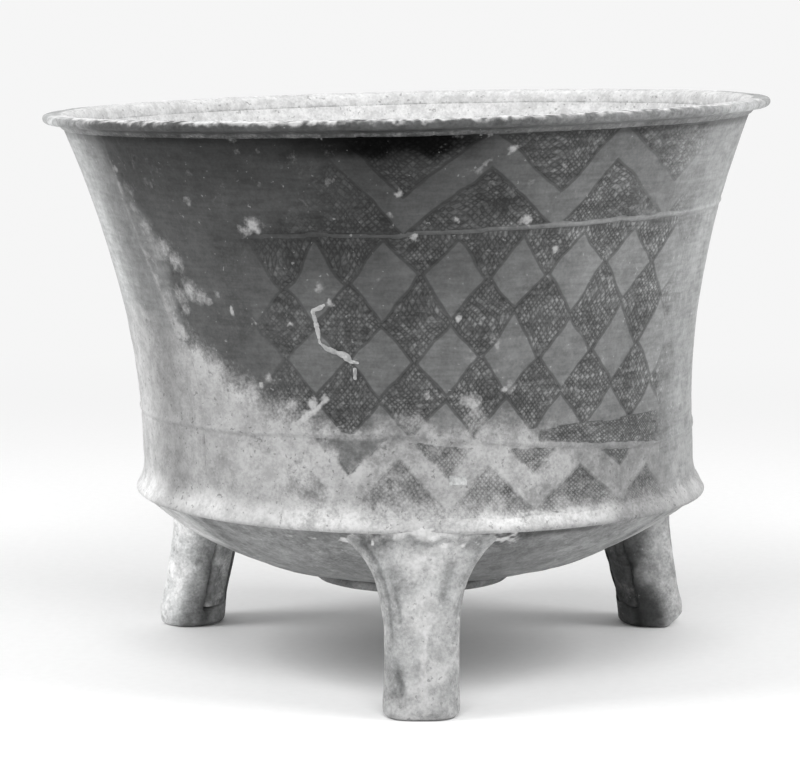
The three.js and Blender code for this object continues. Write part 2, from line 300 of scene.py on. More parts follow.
EVEN_CROSSINGS = LOZENGE_CROSSINGS[1:-2]
ODD_CROSSINGS = (-16.7, -4.2, 8.1, 19.8, 31.3, 43.3)
# Height of a row of crossings, and how far it is drawn below that height at each crossing near the front
ROW_SINKS = (
    (119.0, EVEN_CROSSINGS, (3.2, 1.9, -1.1, 1.4, 0.6, -1.4, 0)),
    (108.0, ODD_CROSSINGS, (2.5, 2.3, 1.1, -1.4, 1.4, -0.9)),
    (95.8, EVEN_CROSSINGS, (-0.6, -1.4, 0.6, -1.4, 0, -0.6, -1.1)),
)
RING_STEP = 0.9
LEFT_TALLER = 0.17
WEDGE_TURN = 22
VEE_TIP = 65.2
VEE_TURN = -12.7
VEE_LEAN = 0.13
VEE_SLOPE = 1.75


def zigzag_band(step, height, steepness, bottom, rise, stripe, hatches):
    """A stripe between a triangle wave and the same wave raised by the stripe's height."""
    wave = 1 - np.abs(step % 2 - 1)
    lower = bottom + rise * wave
    field = np.minimum(height - lower, lower + stripe - height) / math.hypot(1, steepness)
    climb = (height - bottom) / rise
    return field, (climb + step) * hatches, (climb - step) * hatches


def lozenge_band(turn, height):
    """Cells between two families of slanting lines, smooth and hatched by turns like a chessboard."""
    near_front = np.abs(turn) < LOZENGE_SPAN
    for row_height, crossings, sinks in ROW_SINKS:
        sink = np.interp(turn, crossings, sinks) * near_front
        height = height + sink * bell(height - row_height, ROW_SPREAD)
    column = np.interp(turn - LOZENGE_SHEAR * (height - SHEAR_HEIGHT), LOZENGE_CROSSINGS, LOZENGE_COLUMNS)
    row = 5 - np.interp(height, LOZENGE_ROWS, np.arange(6))
    first = (row + 2 * column - 1) / 2
    second = (row - 2 * column + 1) / 2
    edge = np.minimum(0.5 - np.abs(first % 1 - 0.5), 0.5 - np.abs(second % 1 - 0.5)) * LOZENGE_WIDTH
    smooth = (np.floor(first) + np.floor(second)) % 2 == 0
    return np.where(smooth, edge, -edge) - LOZENGE_MARGIN, first * HATCHES, second * HATCHES


def ring_height(turn):
    """The upper raised line is drawn in two strokes that meet at the front a millimetre apart."""
    stroke = ramp(turn, -2, 2) + np.sin(np.radians(np.clip(turn, 0, 90)))
    return UPPER_LINE - RING_STEP + RING_STEP * stroke * ramp(turn, 170, 90)


def fold_height(turn):
    """The lower raised line stands at the foot of the net, and slopes down to the right of the front."""
    return LOWER_LINE - 0.14 * np.clip(turn + 5, 0, 62) * ramp(turn, 140, 80)


def plain_vee(turn, height):
    """One triangle of the small zigzag was left smooth: millimetres inside its slanting edges."""
    up = height - VEE_TIP
    return up - np.abs(turn - VEE_TURN - VEE_LEAN * up) * VEE_SLOPE


def engraving(turn, height, points):
    """The three bands in one, drawn a little unsteadily, with bare strips along the raised lines."""
    turn = turn + 0.5 * noise(points, 9, 11, 3)
    height = height + 0.7 * noise(points, 12, 12, 3)
    step = np.interp(turn, ZIGZAG_CORNERS, ZIGZAG_STEPS)
    rise = ZIGZAG_RISE * (1 + LEFT_TALLER * ramp(turn, 2, -8) * ramp(turn, -160, -100))
    upper = zigzag_band(step, height, 0.9, ZIGZAG_BOTTOM, rise, ZIGZAG_STRIPE, ZIGZAG_HATCHES)
    step = np.interp(turn, SMALL_ZIGZAG_CORNERS, SMALL_ZIGZAG_STEPS)
    fold = fold_height(turn)
    rise = SMALL_ZIGZAG_RISE - 0.9 * (LOWER_LINE - fold)
    band = (SMALL_ZIGZAG_BOTTOM, rise, SMALL_ZIGZAG_STRIPE, SMALL_ZIGZAG_HATCHES)
    field, first, second = zigzag_band(step, height, 1.0, *band)
    field = np.where(height > fold, -2.0 + 5 * ramp(turn + 4 * noise(points, 6, 17, 3), 30, 20), field)
    field = np.where((field < 0) & (plain_vee(turn, height) > 0), 1.0, field)
    foot = np.where(turn < WEDGE_TURN, np.minimum(fold, LOWER_LINE), LOWER_LINE + 0.4)
    which = np.where(height > UPPER_LINE, 0, np.where(height > foot, 1, 2))
    bands = (upper, lozenge_band(turn, height), (field, first, second))
    field, first, second = (np.choose(which, part) for part in zip(*bands))
    bare = ramp(np.abs(height - ring_height(turn)), 0.9 + 0.4 * ramp(turn, 0, 30), 0.5)
    bare = bare + ramp(height, 155.5, 157.0) + ramp(height, 55, 53)
    bare = np.maximum(bare, ramp(np.abs(height - fold), 1.4, 0.8))
    first, second = (
        line + 0.40 * noise(points, 3.5, seed, 2) + 0.5 * noise(points, 13, seed + 1, 1)
        for line, seed in ((first, 13), (second, 15))
    )
    return np.maximum(field, 5 * bare - 4), first, second


# Where the pale crust lies and how dark the bronze is, by turn and height, as the photograph shows them,
# with painted shadow under the lip and painted rim light at the edges of the front view.
# In every ramp, window and bell, turns are degrees from the front and heights are millimetres.
CRUST_TURNS = (-180, -120, -75, -62, -55, -45, -40, -30, -20, 0, 20, 32, 45, 60, 120, 180)
CRUST_TOPS = (80, 92, 98, 102, 101, 96, 92, 85, 80, 78, 79, 76, 67, 60, 70, 80)
# Small pale marks above the crust: turn, height, size in millimetres and strength
MARKS = (
    (-26.8, 133.4, 1.9, 0.9), (-28.8, 131.8, 1.1, 0.6), (20.2, 133.4, 1.6, 1.0), (8.8, 133.6, 0.9, 0.7),
    (1.1, 130.1, 0.55, 0.85), (26.3, 124.6, 0.6, 0.8), (-29.6, 106.4, 0.8, 0.8), (-22.4, 107.2, 0.6, 0.6),
    (-30.0, 88.6, 1.0, 1.0), (-34.6, 109.5, 0.7, 0.7), (-37.2, 113.8, 1.1, 0.6), (-14.2, 112.4, 0.45, 0.6),
    (-28.0, 91.5, 1.5, 0.6), (-24.0, 83.5, 2.4, 0.8), (-19.0, 84.3, 1.4, 0.9), (-20.5, 82.0, 1.3, 0.9),
    (-17.0, 86.0, 0.8, 0.8), (-44.4, 114.7, 2.8, 0.6), (-41.4, 112.8, 2.0, 0.55), (-46.6, 122.8, 2.8, 0.6),
    (-49.4, 125.8, 3.4, 0.5), (-52.0, 130.5, 2.6, 0.4), (-46.8, 113.4, 2.6, 0.5), (-46.6, 109.2, 1.6, 0.5),
    (-39.8, 111.7, 1.0, 0.6), (-14.9, 142.1, 0.7, 0.6), (-15.8, 116.4, 1.3, 0.4), (11.3, 84.2, 2.4, 0.85),
    (16.8, 152.3, 1.1, 0.7), (20.6, 143.3, 0.6, 0.3), (3.0, 86.6, 0.8, 0.6),
    (8.9, 107.4, 0.35, 0.75), (18.0, 87.0, 0.8, 0.7), (-1.1, 141.8, 0.7, 0.7), (-2.7, 136.6, 0.8, 0.8),
    (26.5, 147.5, 0.9, 0.5), (38.0, 127.6, 1.0, 0.4), (-39.5, 139.2, 1.0, 0.5),
)
# A pale vein across the lower left, as turns and heights
VEIN = (
    (-16.4, 86.0), (-18.8, 82.8), (-23.1, 78.8), (-24.9, 76.5), (-26.8, 74.7), (-30.7, 71.4), (-35.6, 67.1),
)
# Millimetres along the wall in one degree, at mid height and higher up
DEGREE = 1.42
HIGH_DEGREE = 1.48
VEIN_HALF_WIDTH = 0.9
SEAM_TURNS = (-48.2, 56.5, 181.0)
SEAM_SPREAD = 8.8
# Lightness gained over spans of turns: amount, where it begins and where it is full.
# The steps at the left and right edges of the front view are partly paler patina and crust, partly painted
# rim light.
PALE_AND_RIM_LIGHT_STEPS = ((-0.07, 20, 42), (0.10, -60, -72), (0.10, 56, 70), (0.07, 100, 180))
TONE_AND_RIM_LIGHT_STEPS = (
    (0.016, -8, 10), (0.050, 8, 38), (0.025, 38, 60), (0.04, -60, -66), (0.11, -64, -73),
    (0.025, 48, 58), (0.05, 58, 73), (0.049, 90, 170),
)
PALE_START = 0.30
TONE_START = 0.040
CRUST_RIDGE = 52.6


def seam(turn, spread=0.0):
    """The turn of a seam at a height: straight up, or moved to the left by a ramp towards the lip."""
    return lambda height: turn - spread * ramp(height, 80, 140)


seam_left = seam(SEAM_TURNS[0], SEAM_SPREAD)
seam_right = seam(SEAM_TURNS[1])
seam_back = seam(SEAM_TURNS[2])


def distance_to(route, turn, height):
    """Millimetres to the nearest place on the stretches of a broken line of turns and heights."""
    nearest = np.full(turn.shape, np.inf)
    for (turn_a, height_a), (turn_b, height_b) in zip(route[:-1], route[1:]):
        run, rise = (turn_b - turn_a) * DEGREE, height_b - height_a
        across, up = (turn - turn_a) * DEGREE, height - height_a
        share = np.clip((across * run + up * rise) / (run ** 2 + rise ** 2), 0, 1)
        nearest = np.minimum(nearest, np.hypot(across - share * run, up - share * rise))
    return nearest


def crust_amount(turn, height, points):
    """Full below a wandering edge, broken up by noise, with small marks, a vein and a seam above it."""
    edge = np.interp(turn, CRUST_TURNS, CRUST_TOPS) + 5 * noise(points, 16, 21, 4)
    ahead = ramp(np.abs(turn), 150, 100)
    amount = (0.76 + 0.25 * ramp(turn, -18, -32) * ahead) * ramp(height, edge + 14, edge - 9)
    amount += 0.12 * noise(points, 5, 23, 4) * ramp(height, edge + 16, edge)
    thin = 0.3 * ramp(turn, 12, 30) * window(height, 54.2, 55.2, 60, 68)
    thin += 0.25 * ramp(turn, 8, 34) * ramp(height, 60, 68)
    amount *= 1 - thin * ahead
    ragged = 1.1 * noise(points, 1.8, 24, 4)
    for mark_turn, mark_height, size, strength in MARKS:
        reach = np.hypot((turn - mark_turn) * HIGH_DEGREE, height - mark_height) + ragged
        amount = np.maximum(amount, strength * np.clip(1.25 - 0.75 * reach / size, 0, 0.95))
    plain = ramp(plain_vee(turn, height) + 1.2 * noise(points, 3, 33, 3), -1.2, 1.4)
    amount *= 1 - 0.7 * plain * ramp(height, 75.8, 74.6)
    broken = noise(points, 2.2, 29, 3)
    vein = 1.25 - (distance_to(VEIN, turn, height) + 0.5 * broken) / VEIN_HALF_WIDTH
    amount = np.maximum(amount, np.clip(vein, 0, 1))
    side = turn - seam_left(height)
    patchy = ramp(broken + 0.6 * noise(points, 9, 25, 2), -0.25, 0.65)
    along_seam = bell(side - 0.8, 3.0) * ramp(height, 156, 146) * patchy
    along_seam += 0.7 * bell(side * DEGREE + 0.4, 0.8) * window(height, 96, 106, 148, 155)
    flecks = ramp(noise(points, 3.2, 27, 3), 0.35, 0.95) * ramp(noise(points, 24, 28, 2), -0.4, 0.6)
    return np.maximum(amount, 0.32 * flecks) + 0.55 * along_seam


def gained(turn, steps):
    """The sum of the steps' amounts, each over its own ramp."""
    return sum(amount * ramp(turn, start, full) for amount, start, full in steps)


def crust_paleness_with_rim_light(turn, height, points):
    """Palest along the ridge and at the left edge, greyer in the middle and to the right.
    The lift at both edges of the front view is partly painted rim light.
    """
    pale = PALE_START + gained(turn, PALE_AND_RIM_LIGHT_STEPS) - 0.02 * window(turn, -62, -54, -32, -20)
    pale -= 0.09 * bell(turn + 57, 6) + 0.05 * bell(turn + 3, 10)
    ridge = bell(height - CRUST_RIDGE, 3.4 - 1.4 * ramp(turn, 5, 20)) * (1 - 0.5 * bell(turn + 1, 8))
    ridge *= 1 - 0.8 * window(turn, 34, 46, 100, 150)
    pale += (0.14 + 0.07 * window(turn, 10, 20, 100, 150)) * ridge
    return pale * (1 + 0.12 * noise(points, 11, 26, 3))


def patina_tone_with_painted_light(turn, height, points):
    """Nearly black from the left seam to the front, mid grey to the right and behind, darkened under the lip
    by soot and painted lip shadow, lighter at the edges of the front view partly by painted rim light.
    """
    dark_side = turn + 48 + 11 * ramp(height, 118, 160) + 0.6 * noise(points, 3, 34, 3)
    shade = TONE_START + gained(turn, TONE_AND_RIM_LIGHT_STEPS) + 0.065 * ramp(dark_side, 0.6, -3)
    shade += 0.024 * ramp(height, 128, 100) * window(turn, -40, -14, 10, 30)
    shade *= 1 - 0.46 * ramp(height, 128, 150) * window(turn, -62, -52, -2, 24)
    shade -= 0.022 * ramp(height, 112, 98) * window(turn, 38, 50, 56, 66)
    shade *= 1 - 0.13 * ramp(height, 128, 138) * window(turn, 0, 8, 45, 60)
    shade *= 1 - 0.28 * bell(height - 130, 7) * window(turn, -42, -32, -12, 2)
    # Painted shade: the band just under the lip is darkened partly for soot, partly as painted shadow of the
    # lip
    soot_and_overhang_shade = window(turn, -34, -4, 5, 18) * ramp(height + 1.5 * noise(points, 7, 32, 3), 149.5, 154)
    shade *= 1 - 0.88 * soot_and_overhang_shade
    # Painted shade: a narrow dark band under the lip collar, part soot, part painted shadow of the lip
    shade *= 1 - (0.35 + 0.17 * window(turn, 12, 22, 70, 120)) * ramp(height, 154.2, 156.2)
    return shade * (1 + 0.16 * noise(points, 26, 31, 4))


BACK_WORN = 0.7
LINE_WIDTH = 0.2
ENGRAVED_DEPTH = 0.09
HATCH_DEPTH = 0.10
RAISED = 0.34
FACET = 1.2


def engraving_worn(turn, height):
    """How much of the engraving shows: little to the left, where patina fills it, and at the far right."""
    drift = 16 * ramp(height, 126, 140)
    left = ramp(turn, -41 + drift, -14 + drift)
    left = left * (1 - 0.8 * ramp(height, 76, 74) * ramp(turn, -2, -14))
    left = left * (1 - 0.45 * ramp(turn, 34, 46) * ramp(height, 126, 134))
    front_worn = (0.1 + 0.9 * left) * (1 - 0.75 * ramp(turn, 52, 61))
    return BACK_WORN + (front_worn - BACK_WORN) * ramp(np.abs(turn), 105, 80)


def seam_relief(turn, height, points):
    """A ribbed band and a crack-like step along each seam, sharpest on the left in the lower half."""
    relief = np.zeros(turn.shape)
    low = window(height, 58, 63, 94, 102)
    ribs = 0.5 + 0.5 * np.sin(height * 4.4 + 1.5 * noise(points, 3, 48, 1))
    for seam_turn, sharp in ((seam_left, 1.0), (seam_right, 0.5), (seam_back, 0.6)):
        across = ((turn - seam_turn(height) + 180) % 360 - 180) * DEGREE
        relief += sharp * (0.22 * bell(across, 1.3) + low * 0.10 * ribs * bell(across, 1.6))
        relief -= sharp * 0.5 * bell(across - 2.4, 0.4) * low
    return relief


def raised_lines(turn, height, points):
    """Two ridges between narrow grooves, as bells of the distance to each line.
    Returns the relief, and how high the upper ridge stands as a share, which also lightens the wall's tone
    there as a painted highlight."""
    ahead = ramp(np.abs(turn), 105, 80)
    ring = height - ring_height(turn) - 0.15 * noise(points, 15, 46, 2)
    weight = 0.08 * ramp(turn, -34, -26) + 0.4 * ramp(turn, -14, 4) + 0.3 * ramp(turn, 8, 25)
    crest_and_highlight = bell(ring, 0.32 + 0.25 * ramp(turn, 0, 30)) * (0.8 + (weight - 0.8) * ahead)
    cut = 0.10 * bell(ring + FACET, 0.5) + 0.08 * bell(ring - FACET, 0.5)
    fold = height - fold_height(turn) - 0.5 * noise(points, 18, 47, 2)
    relief = RAISED * crest_and_highlight - cut * (1 - 0.6 * ramp(turn, 0, -20) * ahead)
    return relief + RAISED * bell(fold - 0.5, 0.7) - 0.22 * bell(fold + 0.7, 0.45), crest_and_highlight


def wall_section(name, seam_from, seam_to):
    """One mould section: turns from seam to seam, heights from the ridge to the lip, relief on the radius."""
    rows, cols, nose_rows = 257, 361, 10
    nose = NOSE_HEIGHT - NOSE_DROP * np.sin(np.radians(np.linspace(86, 6, nose_rows)))
    height = np.concatenate([nose, np.linspace(NOSE_HEIGHT, NECK_HEIGHT - 0.3, rows - nose_rows)])
    height = height[:, None] + np.zeros((1, cols))
    share = np.linspace(0, 1, cols)[None, :]
    turn = seam_from(height) * (1 - share) + seam_to(height) * share
    base = wall_radius(height)
    points = around(turn, base, height)
    low = np.clip((UPPER_LINE - height) / (UPPER_LINE - RIDGE_HEIGHT), 0, 1)
    drift = np.degrees(FOOT_SHIFT / WAIST_RADIUS) * low * np.clip(np.cos(np.radians(turn)), 0, None)
    wrapped = (turn + drift + 180) % 360 - 180
    field, first, second = engraving(wrapped, height, points)
    crust = crust_amount(wrapped, height, points)
    worn = engraving_worn(wrapped, height)
    hatched = ramp(field, -0.1, -0.5)
    crust = crust - 0.22 * hatched * window(height, 55, 60, 74, 78)
    lines = np.maximum(bell(first - np.round(first), LINE_WIDTH), bell(second - np.round(second), LINE_WIDTH))
    clear = 1 - 0.75 * ramp(crust, 0.3, 0.7)
    relief = clear * worn * (0.04 - ENGRAVED_DEPTH * ramp(field, 0.5, -0.7) - hatched * HATCH_DEPTH * lines)
    raised, crest_and_highlight = raised_lines(wrapped, height, points)
    relief += raised
    relief += 0.16 * ramp(crust, 0.35, 0.9) * (0.7 + 0.5 * noise(points, 2.6, 41, 3))
    relief += 0.10 * noise(points, 14, 42, 3) + 0.03 * noise(points, 2.4, 43, 2)
    relief += 0.5 * window(wrapped, 12, 28, 80, 100) * ramp(height, 54.6, 53.8)
    relief += seam_relief(wrapped, height, points)
    pits = noise(points, 1.7, 44, 1)
    relief -= 0.22 * ramp(pits, 0.62, 0.9) * ramp(noise(points, 20, 45, 2), -0.1, 0.5)
    face = leaned(around(turn, base + relief, height))
    back = leaned(around(turn[SPARSE], base[SPARSE] - SKIN, height[SPARSE]))
    # Painted highlight: the tone is lighter on the crest of the upper raised line
    values = {"tone": patina_tone_with_painted_light(wrapped, height, points) * (1 + 0.35 * crest_and_highlight), "crust": crust, "worn": worn}
    values["pale"] = crust_paleness_with_rim_light(wrapped, height, points)
    weave = np.stack([first, second, field], -1)
    return sheet_solid(name, face, back, values=values, planes={"weave": weave})


# Shader nodes are laid by name: a value that is a wire is linked, and any other is set on the input
def lay(tree, kind, inputs=(), **settings):
    """A new node with its settings and inputs."""
    made = tree.nodes.new(kind)
    for key, value in settings.items():
        setattr(made, key, value)
    for key, value in dict(inputs).items():
        if isinstance(value, Wire):
            tree.links.new(value.socket, made.inputs[key])
        else:
            made.inputs[key].default_value = value
    return made


class Wire:
    """What one node puts out. The signs + - * join wires and numbers by Math nodes."""

    def __init__(self, socket):
        self.socket = socket
        self.tree = socket.id_data

    def math(self, operation, *others):
        made = lay(self.tree, "ShaderNodeMath", enumerate((self, *others)), operation=operation)
        return Wire(made.outputs[0])

    def __add__(self, other):
        return self.math("ADD", other)

    def __sub__(self, other):
        return self.math("SUBTRACT", other)

    def __mul__(self, other):
        return self.math("MULTIPLY", other)

    def step(self, start, end, low=0.0, high=1.0):
        """A smoothstep from low to high while the wire goes from start to end."""
        inputs = {0: self, 1: start, 2: end, 3: low, 4: high}
        made = lay(self.tree, "ShaderNodeMapRange", inputs, interpolation_type="SMOOTHSTEP")
        return Wire(made.outputs[0])

    def to(self, entry):
        self.tree.links.new(self.socket, entry)


def grain(place, size, detail=5, stretch=(1, 1, 1), rough=0.55):
    """Noise of a grain size in millimetres on Object coordinates, stretched by a factor on each axis."""
    scaled = Wire(lay(place.tree, "ShaderNodeMapping", {"Vector": place, "Scale": stretch}).outputs[0])
    settings = {"Vector": scaled, "Scale": 1000 / size, "Detail": detail, "Roughness": rough}
    return Wire(lay(place.tree, "ShaderNodeTexNoise", settings).outputs["Fac"])


def grey(red, green, blue):
    """A colour from three nearly equal wires."""
    return Wire(lay(green.tree, "ShaderNodeCombineColor", {0: red, 1: green, 2: blue}).outputs[0])


def object_place(tree):
    return Wire(tree.nodes.new("ShaderNodeTexCoord").outputs["Object"])


def new_group(name, inputs, outputs):
    """A shader group with named sockets: returns its tree, the wires it takes and the sockets it fills."""
    tree = bpy.data.node_groups.new(name, "ShaderNodeTree")
    for way, sockets in (("INPUT", inputs), ("OUTPUT", outputs)):
        for label, kind in sockets.items():
            tree.interface.new_socket(label, in_out=way, socket_type="NodeSocket" + kind)
    entrance = tree.nodes.new("NodeGroupInput").outputs
    return tree, {label: Wire(entrance[label]) for label in inputs}, tree.nodes.new("NodeGroupOutput").inputs


def crust_group():
    """Pale mineral crust over a metal colour: the amount is broken up by grain, and the grain stands up."""
    inputs = {"Metal": "Color", "Amount": "Float", "Pale": "Float", "Place": "Vector"}
    outputs = {"Color": "Color", "Cover": "Float", "Height": "Float"}
    tree, taken, given = new_group("mineral_crust", inputs, outputs)
    coarse = grain(taken["Place"], 4.5, 6, rough=0.6)
    fine = grain(taken["Place"], 0.9, 4, rough=0.6)
    broken = taken["Amount"] + (coarse - 0.5) * 0.6 + (fine - 0.5) * 0.5
    cover = broken.step(0.08, 0.85)
    patches = fine * 0.4 + coarse * 0.6
    pits = grain(taken["Place"], 1.5, 2).step(0.36, 0.30)
    shade = taken["Pale"] * patches.step(0.36, 0.64, 0.82, 1.18) * pits.step(0, 1, 1.0, 0.62)
    blend = {0: cover, 6: taken["Metal"], 7: grey(shade, shade, shade)}
    Wire(lay(tree, "ShaderNodeMix", blend, data_type="RGBA").outputs[2]).to(given["Color"])
    cover.to(given["Cover"])
    (cover * fine).to(given["Height"])
    return tree


def mottle_group():
    """Weathered bronze: clouds, fine turning marks that run level, and small light specks."""
    inputs = {"Tone": "Float", "Place": "Vector", "Unevenness": "Float", "Turning": "Float"}
    tree, taken, given = new_group("weathered_bronze", inputs, {"Color": "Color", "Height": "Float"})
    clouds = grain(taken["Place"], 9, 6, rough=0.6)
    blots = grain(taken["Place"], 3.2, 5, rough=0.65)
    level = grain(taken["Place"], 1.1, 3, stretch=(0.12, 0.12, 1.0))
    fine = grain(taken["Place"], 0.8, 4)
    uneven = clouds.step(0.3, 0.7, -0.2, 0.2) + blots.step(0.32, 0.68, -0.24, 0.24)
    uneven = uneven + fine.step(0.3, 0.7, -0.12, 0.12)
    turned = level.step(0.3, 0.7, -0.24, 0.24) * taken["Turning"]
    uneven = (uneven + turned) * taken["Unevenness"]
    specks = grain(taken["Place"], 1.6, 2).step(0.70, 0.76)
    shade = taken["Tone"] * (uneven + 1.0) + specks * 0.12
    grey(shade * 0.985, shade, shade).to(given["Color"])
    (fine * 0.6 + level * 0.4).to(given["Height"])
    return tree


weathered_bronze = mottle_group()
mineral_crust = crust_group()


def point_value(tree, label):
    return Wire(lay(tree, "ShaderNodeAttribute", attribute_name=label).outputs["Fac"])


def engraved_tone(tree, place, tone):
    """The cuts and the hatched fields are darker, and a few knots between the hatching lines are painted
    lighter, as highlights where they catch the light.
    Returns the tone, how uneven it is, and how deep the cuts are."""
    weave = Wire(lay(tree, "ShaderNodeAttribute", attribute_name="weave").outputs["Vector"])
    first, second, field = map(Wire, lay(tree, "ShaderNodeSeparateXYZ", {0: weave}).outputs)
    worn = point_value(tree, "worn")
    border = (field + 0.15).math("ABSOLUTE").step(0.75, 0.2)
    hatched = field.step(-0.1, -0.45)
    line_a, line_b = (line.math("PINGPONG", 0.5).step(0.34, 0.10) for line in (first, second))
    uneven = grain(place, 3.2, 3).step(0.35, 0.65, 0.45, 1.0)
    lines = line_a.math("MAXIMUM", line_b) * hatched * uneven
    cut = (border * uneven.step(0.45, 1, 0.7, 1)).math("MAXIMUM", lines) * worn
    crossing = enumerate((line + 0.5).math("ROUND") for line in (first, second))
    cell = Wire(lay(tree, "ShaderNodeCombineXYZ", crossing).outputs[0])
    chance = lay(tree, "ShaderNodeTexWhiteNoise", {"Vector": cell}, noise_dimensions="2D").outputs["Value"]
    # Painted highlight: a few knots are lightened up to nearly twice the tone
    knot_highlight = hatched * (Wire(chance).math("POWER", 2.0) * worn)
    hatched = hatched * worn
    tone = tone * knot_highlight.step(0, 1, 1.0, 1.9) * hatched.step(0, 1, 1.45, 0.95) * cut.step(0, 1, 1.0, 0.5)
    return tone, hatched.step(0, 0.8, 0.5, 1.0), cut


TONE_GAIN = 1.2
PALE_GAIN = 1.27
PLAIN_UNEVENNESS = 0.9
BUMP_DEPTH = 0.0003
BUMP_STRENGTH = 0.5
METAL_BUMP = 0.25
CUT_BUMP = 0.5
CUT_CRUST_LOSS = 0.12
# The shine falls off where soot makes the bronze nearly black: tones from and to, shine low and high
SHINE = (0.0, 0.035, 0.02, 0.22)


def bronze_material(name, metal_roughness=0.55, crust_roughness=0.9, engraved=False, turning=0.2):
    """Weathered bronze under crust, from the tone, crust and pale values at the points, and any engraving."""
    material = bpy.data.materials.new(name)
    material.use_nodes = True
    tree = material.node_tree
    shader = tree.nodes["Principled BSDF"].inputs
    place = object_place(tree)
    tone, amount, pale = (point_value(tree, label) for label in ("tone", "crust", "pale"))
    tone.step(*SHINE).to(shader["Specular IOR Level"])
    tone = tone * TONE_GAIN
    unevenness = PLAIN_UNEVENNESS
    if engraved:
        tone, unevenness, cut = engraved_tone(tree, place, tone)
        amount = amount - cut * CUT_CRUST_LOSS
    inputs = {"Tone": tone, "Place": place, "Turning": turning, "Unevenness": unevenness}
    metal = lay(tree, "ShaderNodeGroup", inputs, node_tree=weathered_bronze).outputs
    inputs = {"Metal": Wire(metal["Color"]), "Amount": amount, "Pale": pale * PALE_GAIN, "Place": place}
    crust = lay(tree, "ShaderNodeGroup", inputs, node_tree=mineral_crust).outputs
    Wire(crust["Color"]).to(shader["Base Color"])
    Wire(crust["Cover"]).step(0, 1, metal_roughness, crust_roughness).to(shader["Roughness"])
    total = Wire(metal["Height"]) * METAL_BUMP + Wire(crust["Height"])
    if engraved:
        total = total - cut * CUT_BUMP
    bump = lay(tree, "ShaderNodeBump", {"Strength": BUMP_STRENGTH, "Distance": BUMP_DEPTH, "Height": total})
    Wire(bump.outputs[0]).to(shader["Normal"])
    return material


wall_bronze = bronze_material("wall_bronze", engraved=True, turning=0.9)


def finish_piece(piece, material, slot, *nodes):
    piece.data.materials.append(material)
    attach(piece, "root")
    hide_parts(*nodes)


WALL_SECTIONS = (
    ("wall_front", seam_left, seam_right),
    ("wall_rear_right", seam_right, seam_back),
    ("wall_rear_left", seam(SEAM_TURNS[2] - 360), seam_left),
)
for section_name, from_seam, to_seam in WALL_SECTIONS:
    finish_piece(wall_section(section_name, from_seam, to_seam), wall_bronze, "wall_bronze", "bowl_body")


# The lip: the wall turned out to a flat rounded edge about 3 mm thick, cast in one with the wall.
# Its top and edge are rough with crust, and a narrow collar runs just under it.
LIP_ROWS = 50
LIP_TONE_HEIGHT = 140
LIP_PROFILE = (
    (98.3, 156.6), (99.35, 156.9), (99.75, 157.7), (100.9, 158.35), (102.6, 158.6), (104.0, 158.75),
    (104.72, 159.4), (104.85, 160.1), (104.6, 160.9), (103.7, 161.3), (101.5, 161.4), (99.4, 161.35),
    (98.0, 160.9), (97.2, 159.9), (96.7, 158.3), (96.6, 157.0), (97.3, 156.3),
)


def along(profile, count):
    """Points at even steps along a broken line, whose corners are rounded by averaging neighbours."""
    corners = np.array(profile, float)
    gaps = np.hypot(*np.diff(corners, axis=0).T)
    places = np.concatenate([[0], np.cumsum(gaps)])
    wanted = np.linspace(0, places[-1], count)
    line = np.stack([np.interp(wanted, places, corners[:, axis]) for axis in (0, 1)], -1)
    for _ in range(max(1, count // 24)):
        line[1:-1] = (line[:-2] + 2 * line[1:-1] + line[2:]) / 4
    return line


def profile_normals(line):
    """The direction across a profile, to the right of the way it runs."""
    run = np.gradient(line, axis=0)
    run /= np.hypot(run[:, 0], run[:, 1])[:, None]
    return np.stack([run[:, 1], -run[:, 0]], -1)


def swept(line, relief, turn):
    """A profile moved along its own normals by the relief and turned round the axis of the vessel."""
    normals = profile_normals(line)
    radius = line[:, 0][:, None] + normals[:, 0][:, None] * relief
    height = line[:, 1][:, None] + normals[:, 1][:, None] * relief
    return leaned(around(turn, radius, height))


def revolved(line, cols):
    """The turns of a ring's columns, and the points where a profile stands at each of them."""
    turn = np.linspace(-180, 180, cols + 1)[:-1][None, :] + np.zeros((len(line), 1))
    return turn, around(turn, line[:, :1], line[:, 1:])


def lip_ring():
    """The lip's profile carried round the axis and joined to itself, roughened where crust lies."""
    line = along(LIP_PROFILE, LIP_ROWS)
    turn, points = revolved(line, 1600)
    radius, height = line[:, :1], points[..., 2]
    crust = 0.18 + 0.6 * ramp(height, 159.9, 161.8)
    crust += 0.6 * noise(points, 1.7, 51, 2) + 0.2 * noise(points, 10, 55, 3)
    crust -= 0.15 * window(turn, 15, 45, 95, 120) + 0.12 * window(turn, -120, -95, -45, -12)
    end = window(np.abs(turn), 70, 80, 100, 120)
    crust *= ramp(height, 159.2, 160.6) * (1 - 0.7 * end)
    crust = np.maximum(crust, 1.15 * ramp(radius, 101, 98) * ramp(height, 156, 159))
    relief = 0.08 * noise(points, 9, 52, 3) + 0.10 * noise(points, 1.0, 53, 3) * ramp(crust, 0.1, 0.7)
    relief -= 0.12 * ramp(noise(points, 1.6, 54, 2), 0.5, 0.9)
    tone = patina_tone_with_painted_light(turn, LIP_TONE_HEIGHT + 0 * turn, points)
    tone *= (1.15 + 0.7 * ramp(height, 158, 159)) * (1 - 0.3 * end)
    inward = np.maximum(ramp(height, 160.9, 161.3), ramp(radius, 100, 98))
    values = {"tone": tone, "crust": crust, "pale": 0.30 + 0.21 * inward}
    return ring_solid("lip", swept(line, np.clip(relief, -0.6, 0.15), turn), True, 8, values)


finish_piece(lip_ring(), bronze_material("lip_bronze"), "wall_bronze", "bowl_body")


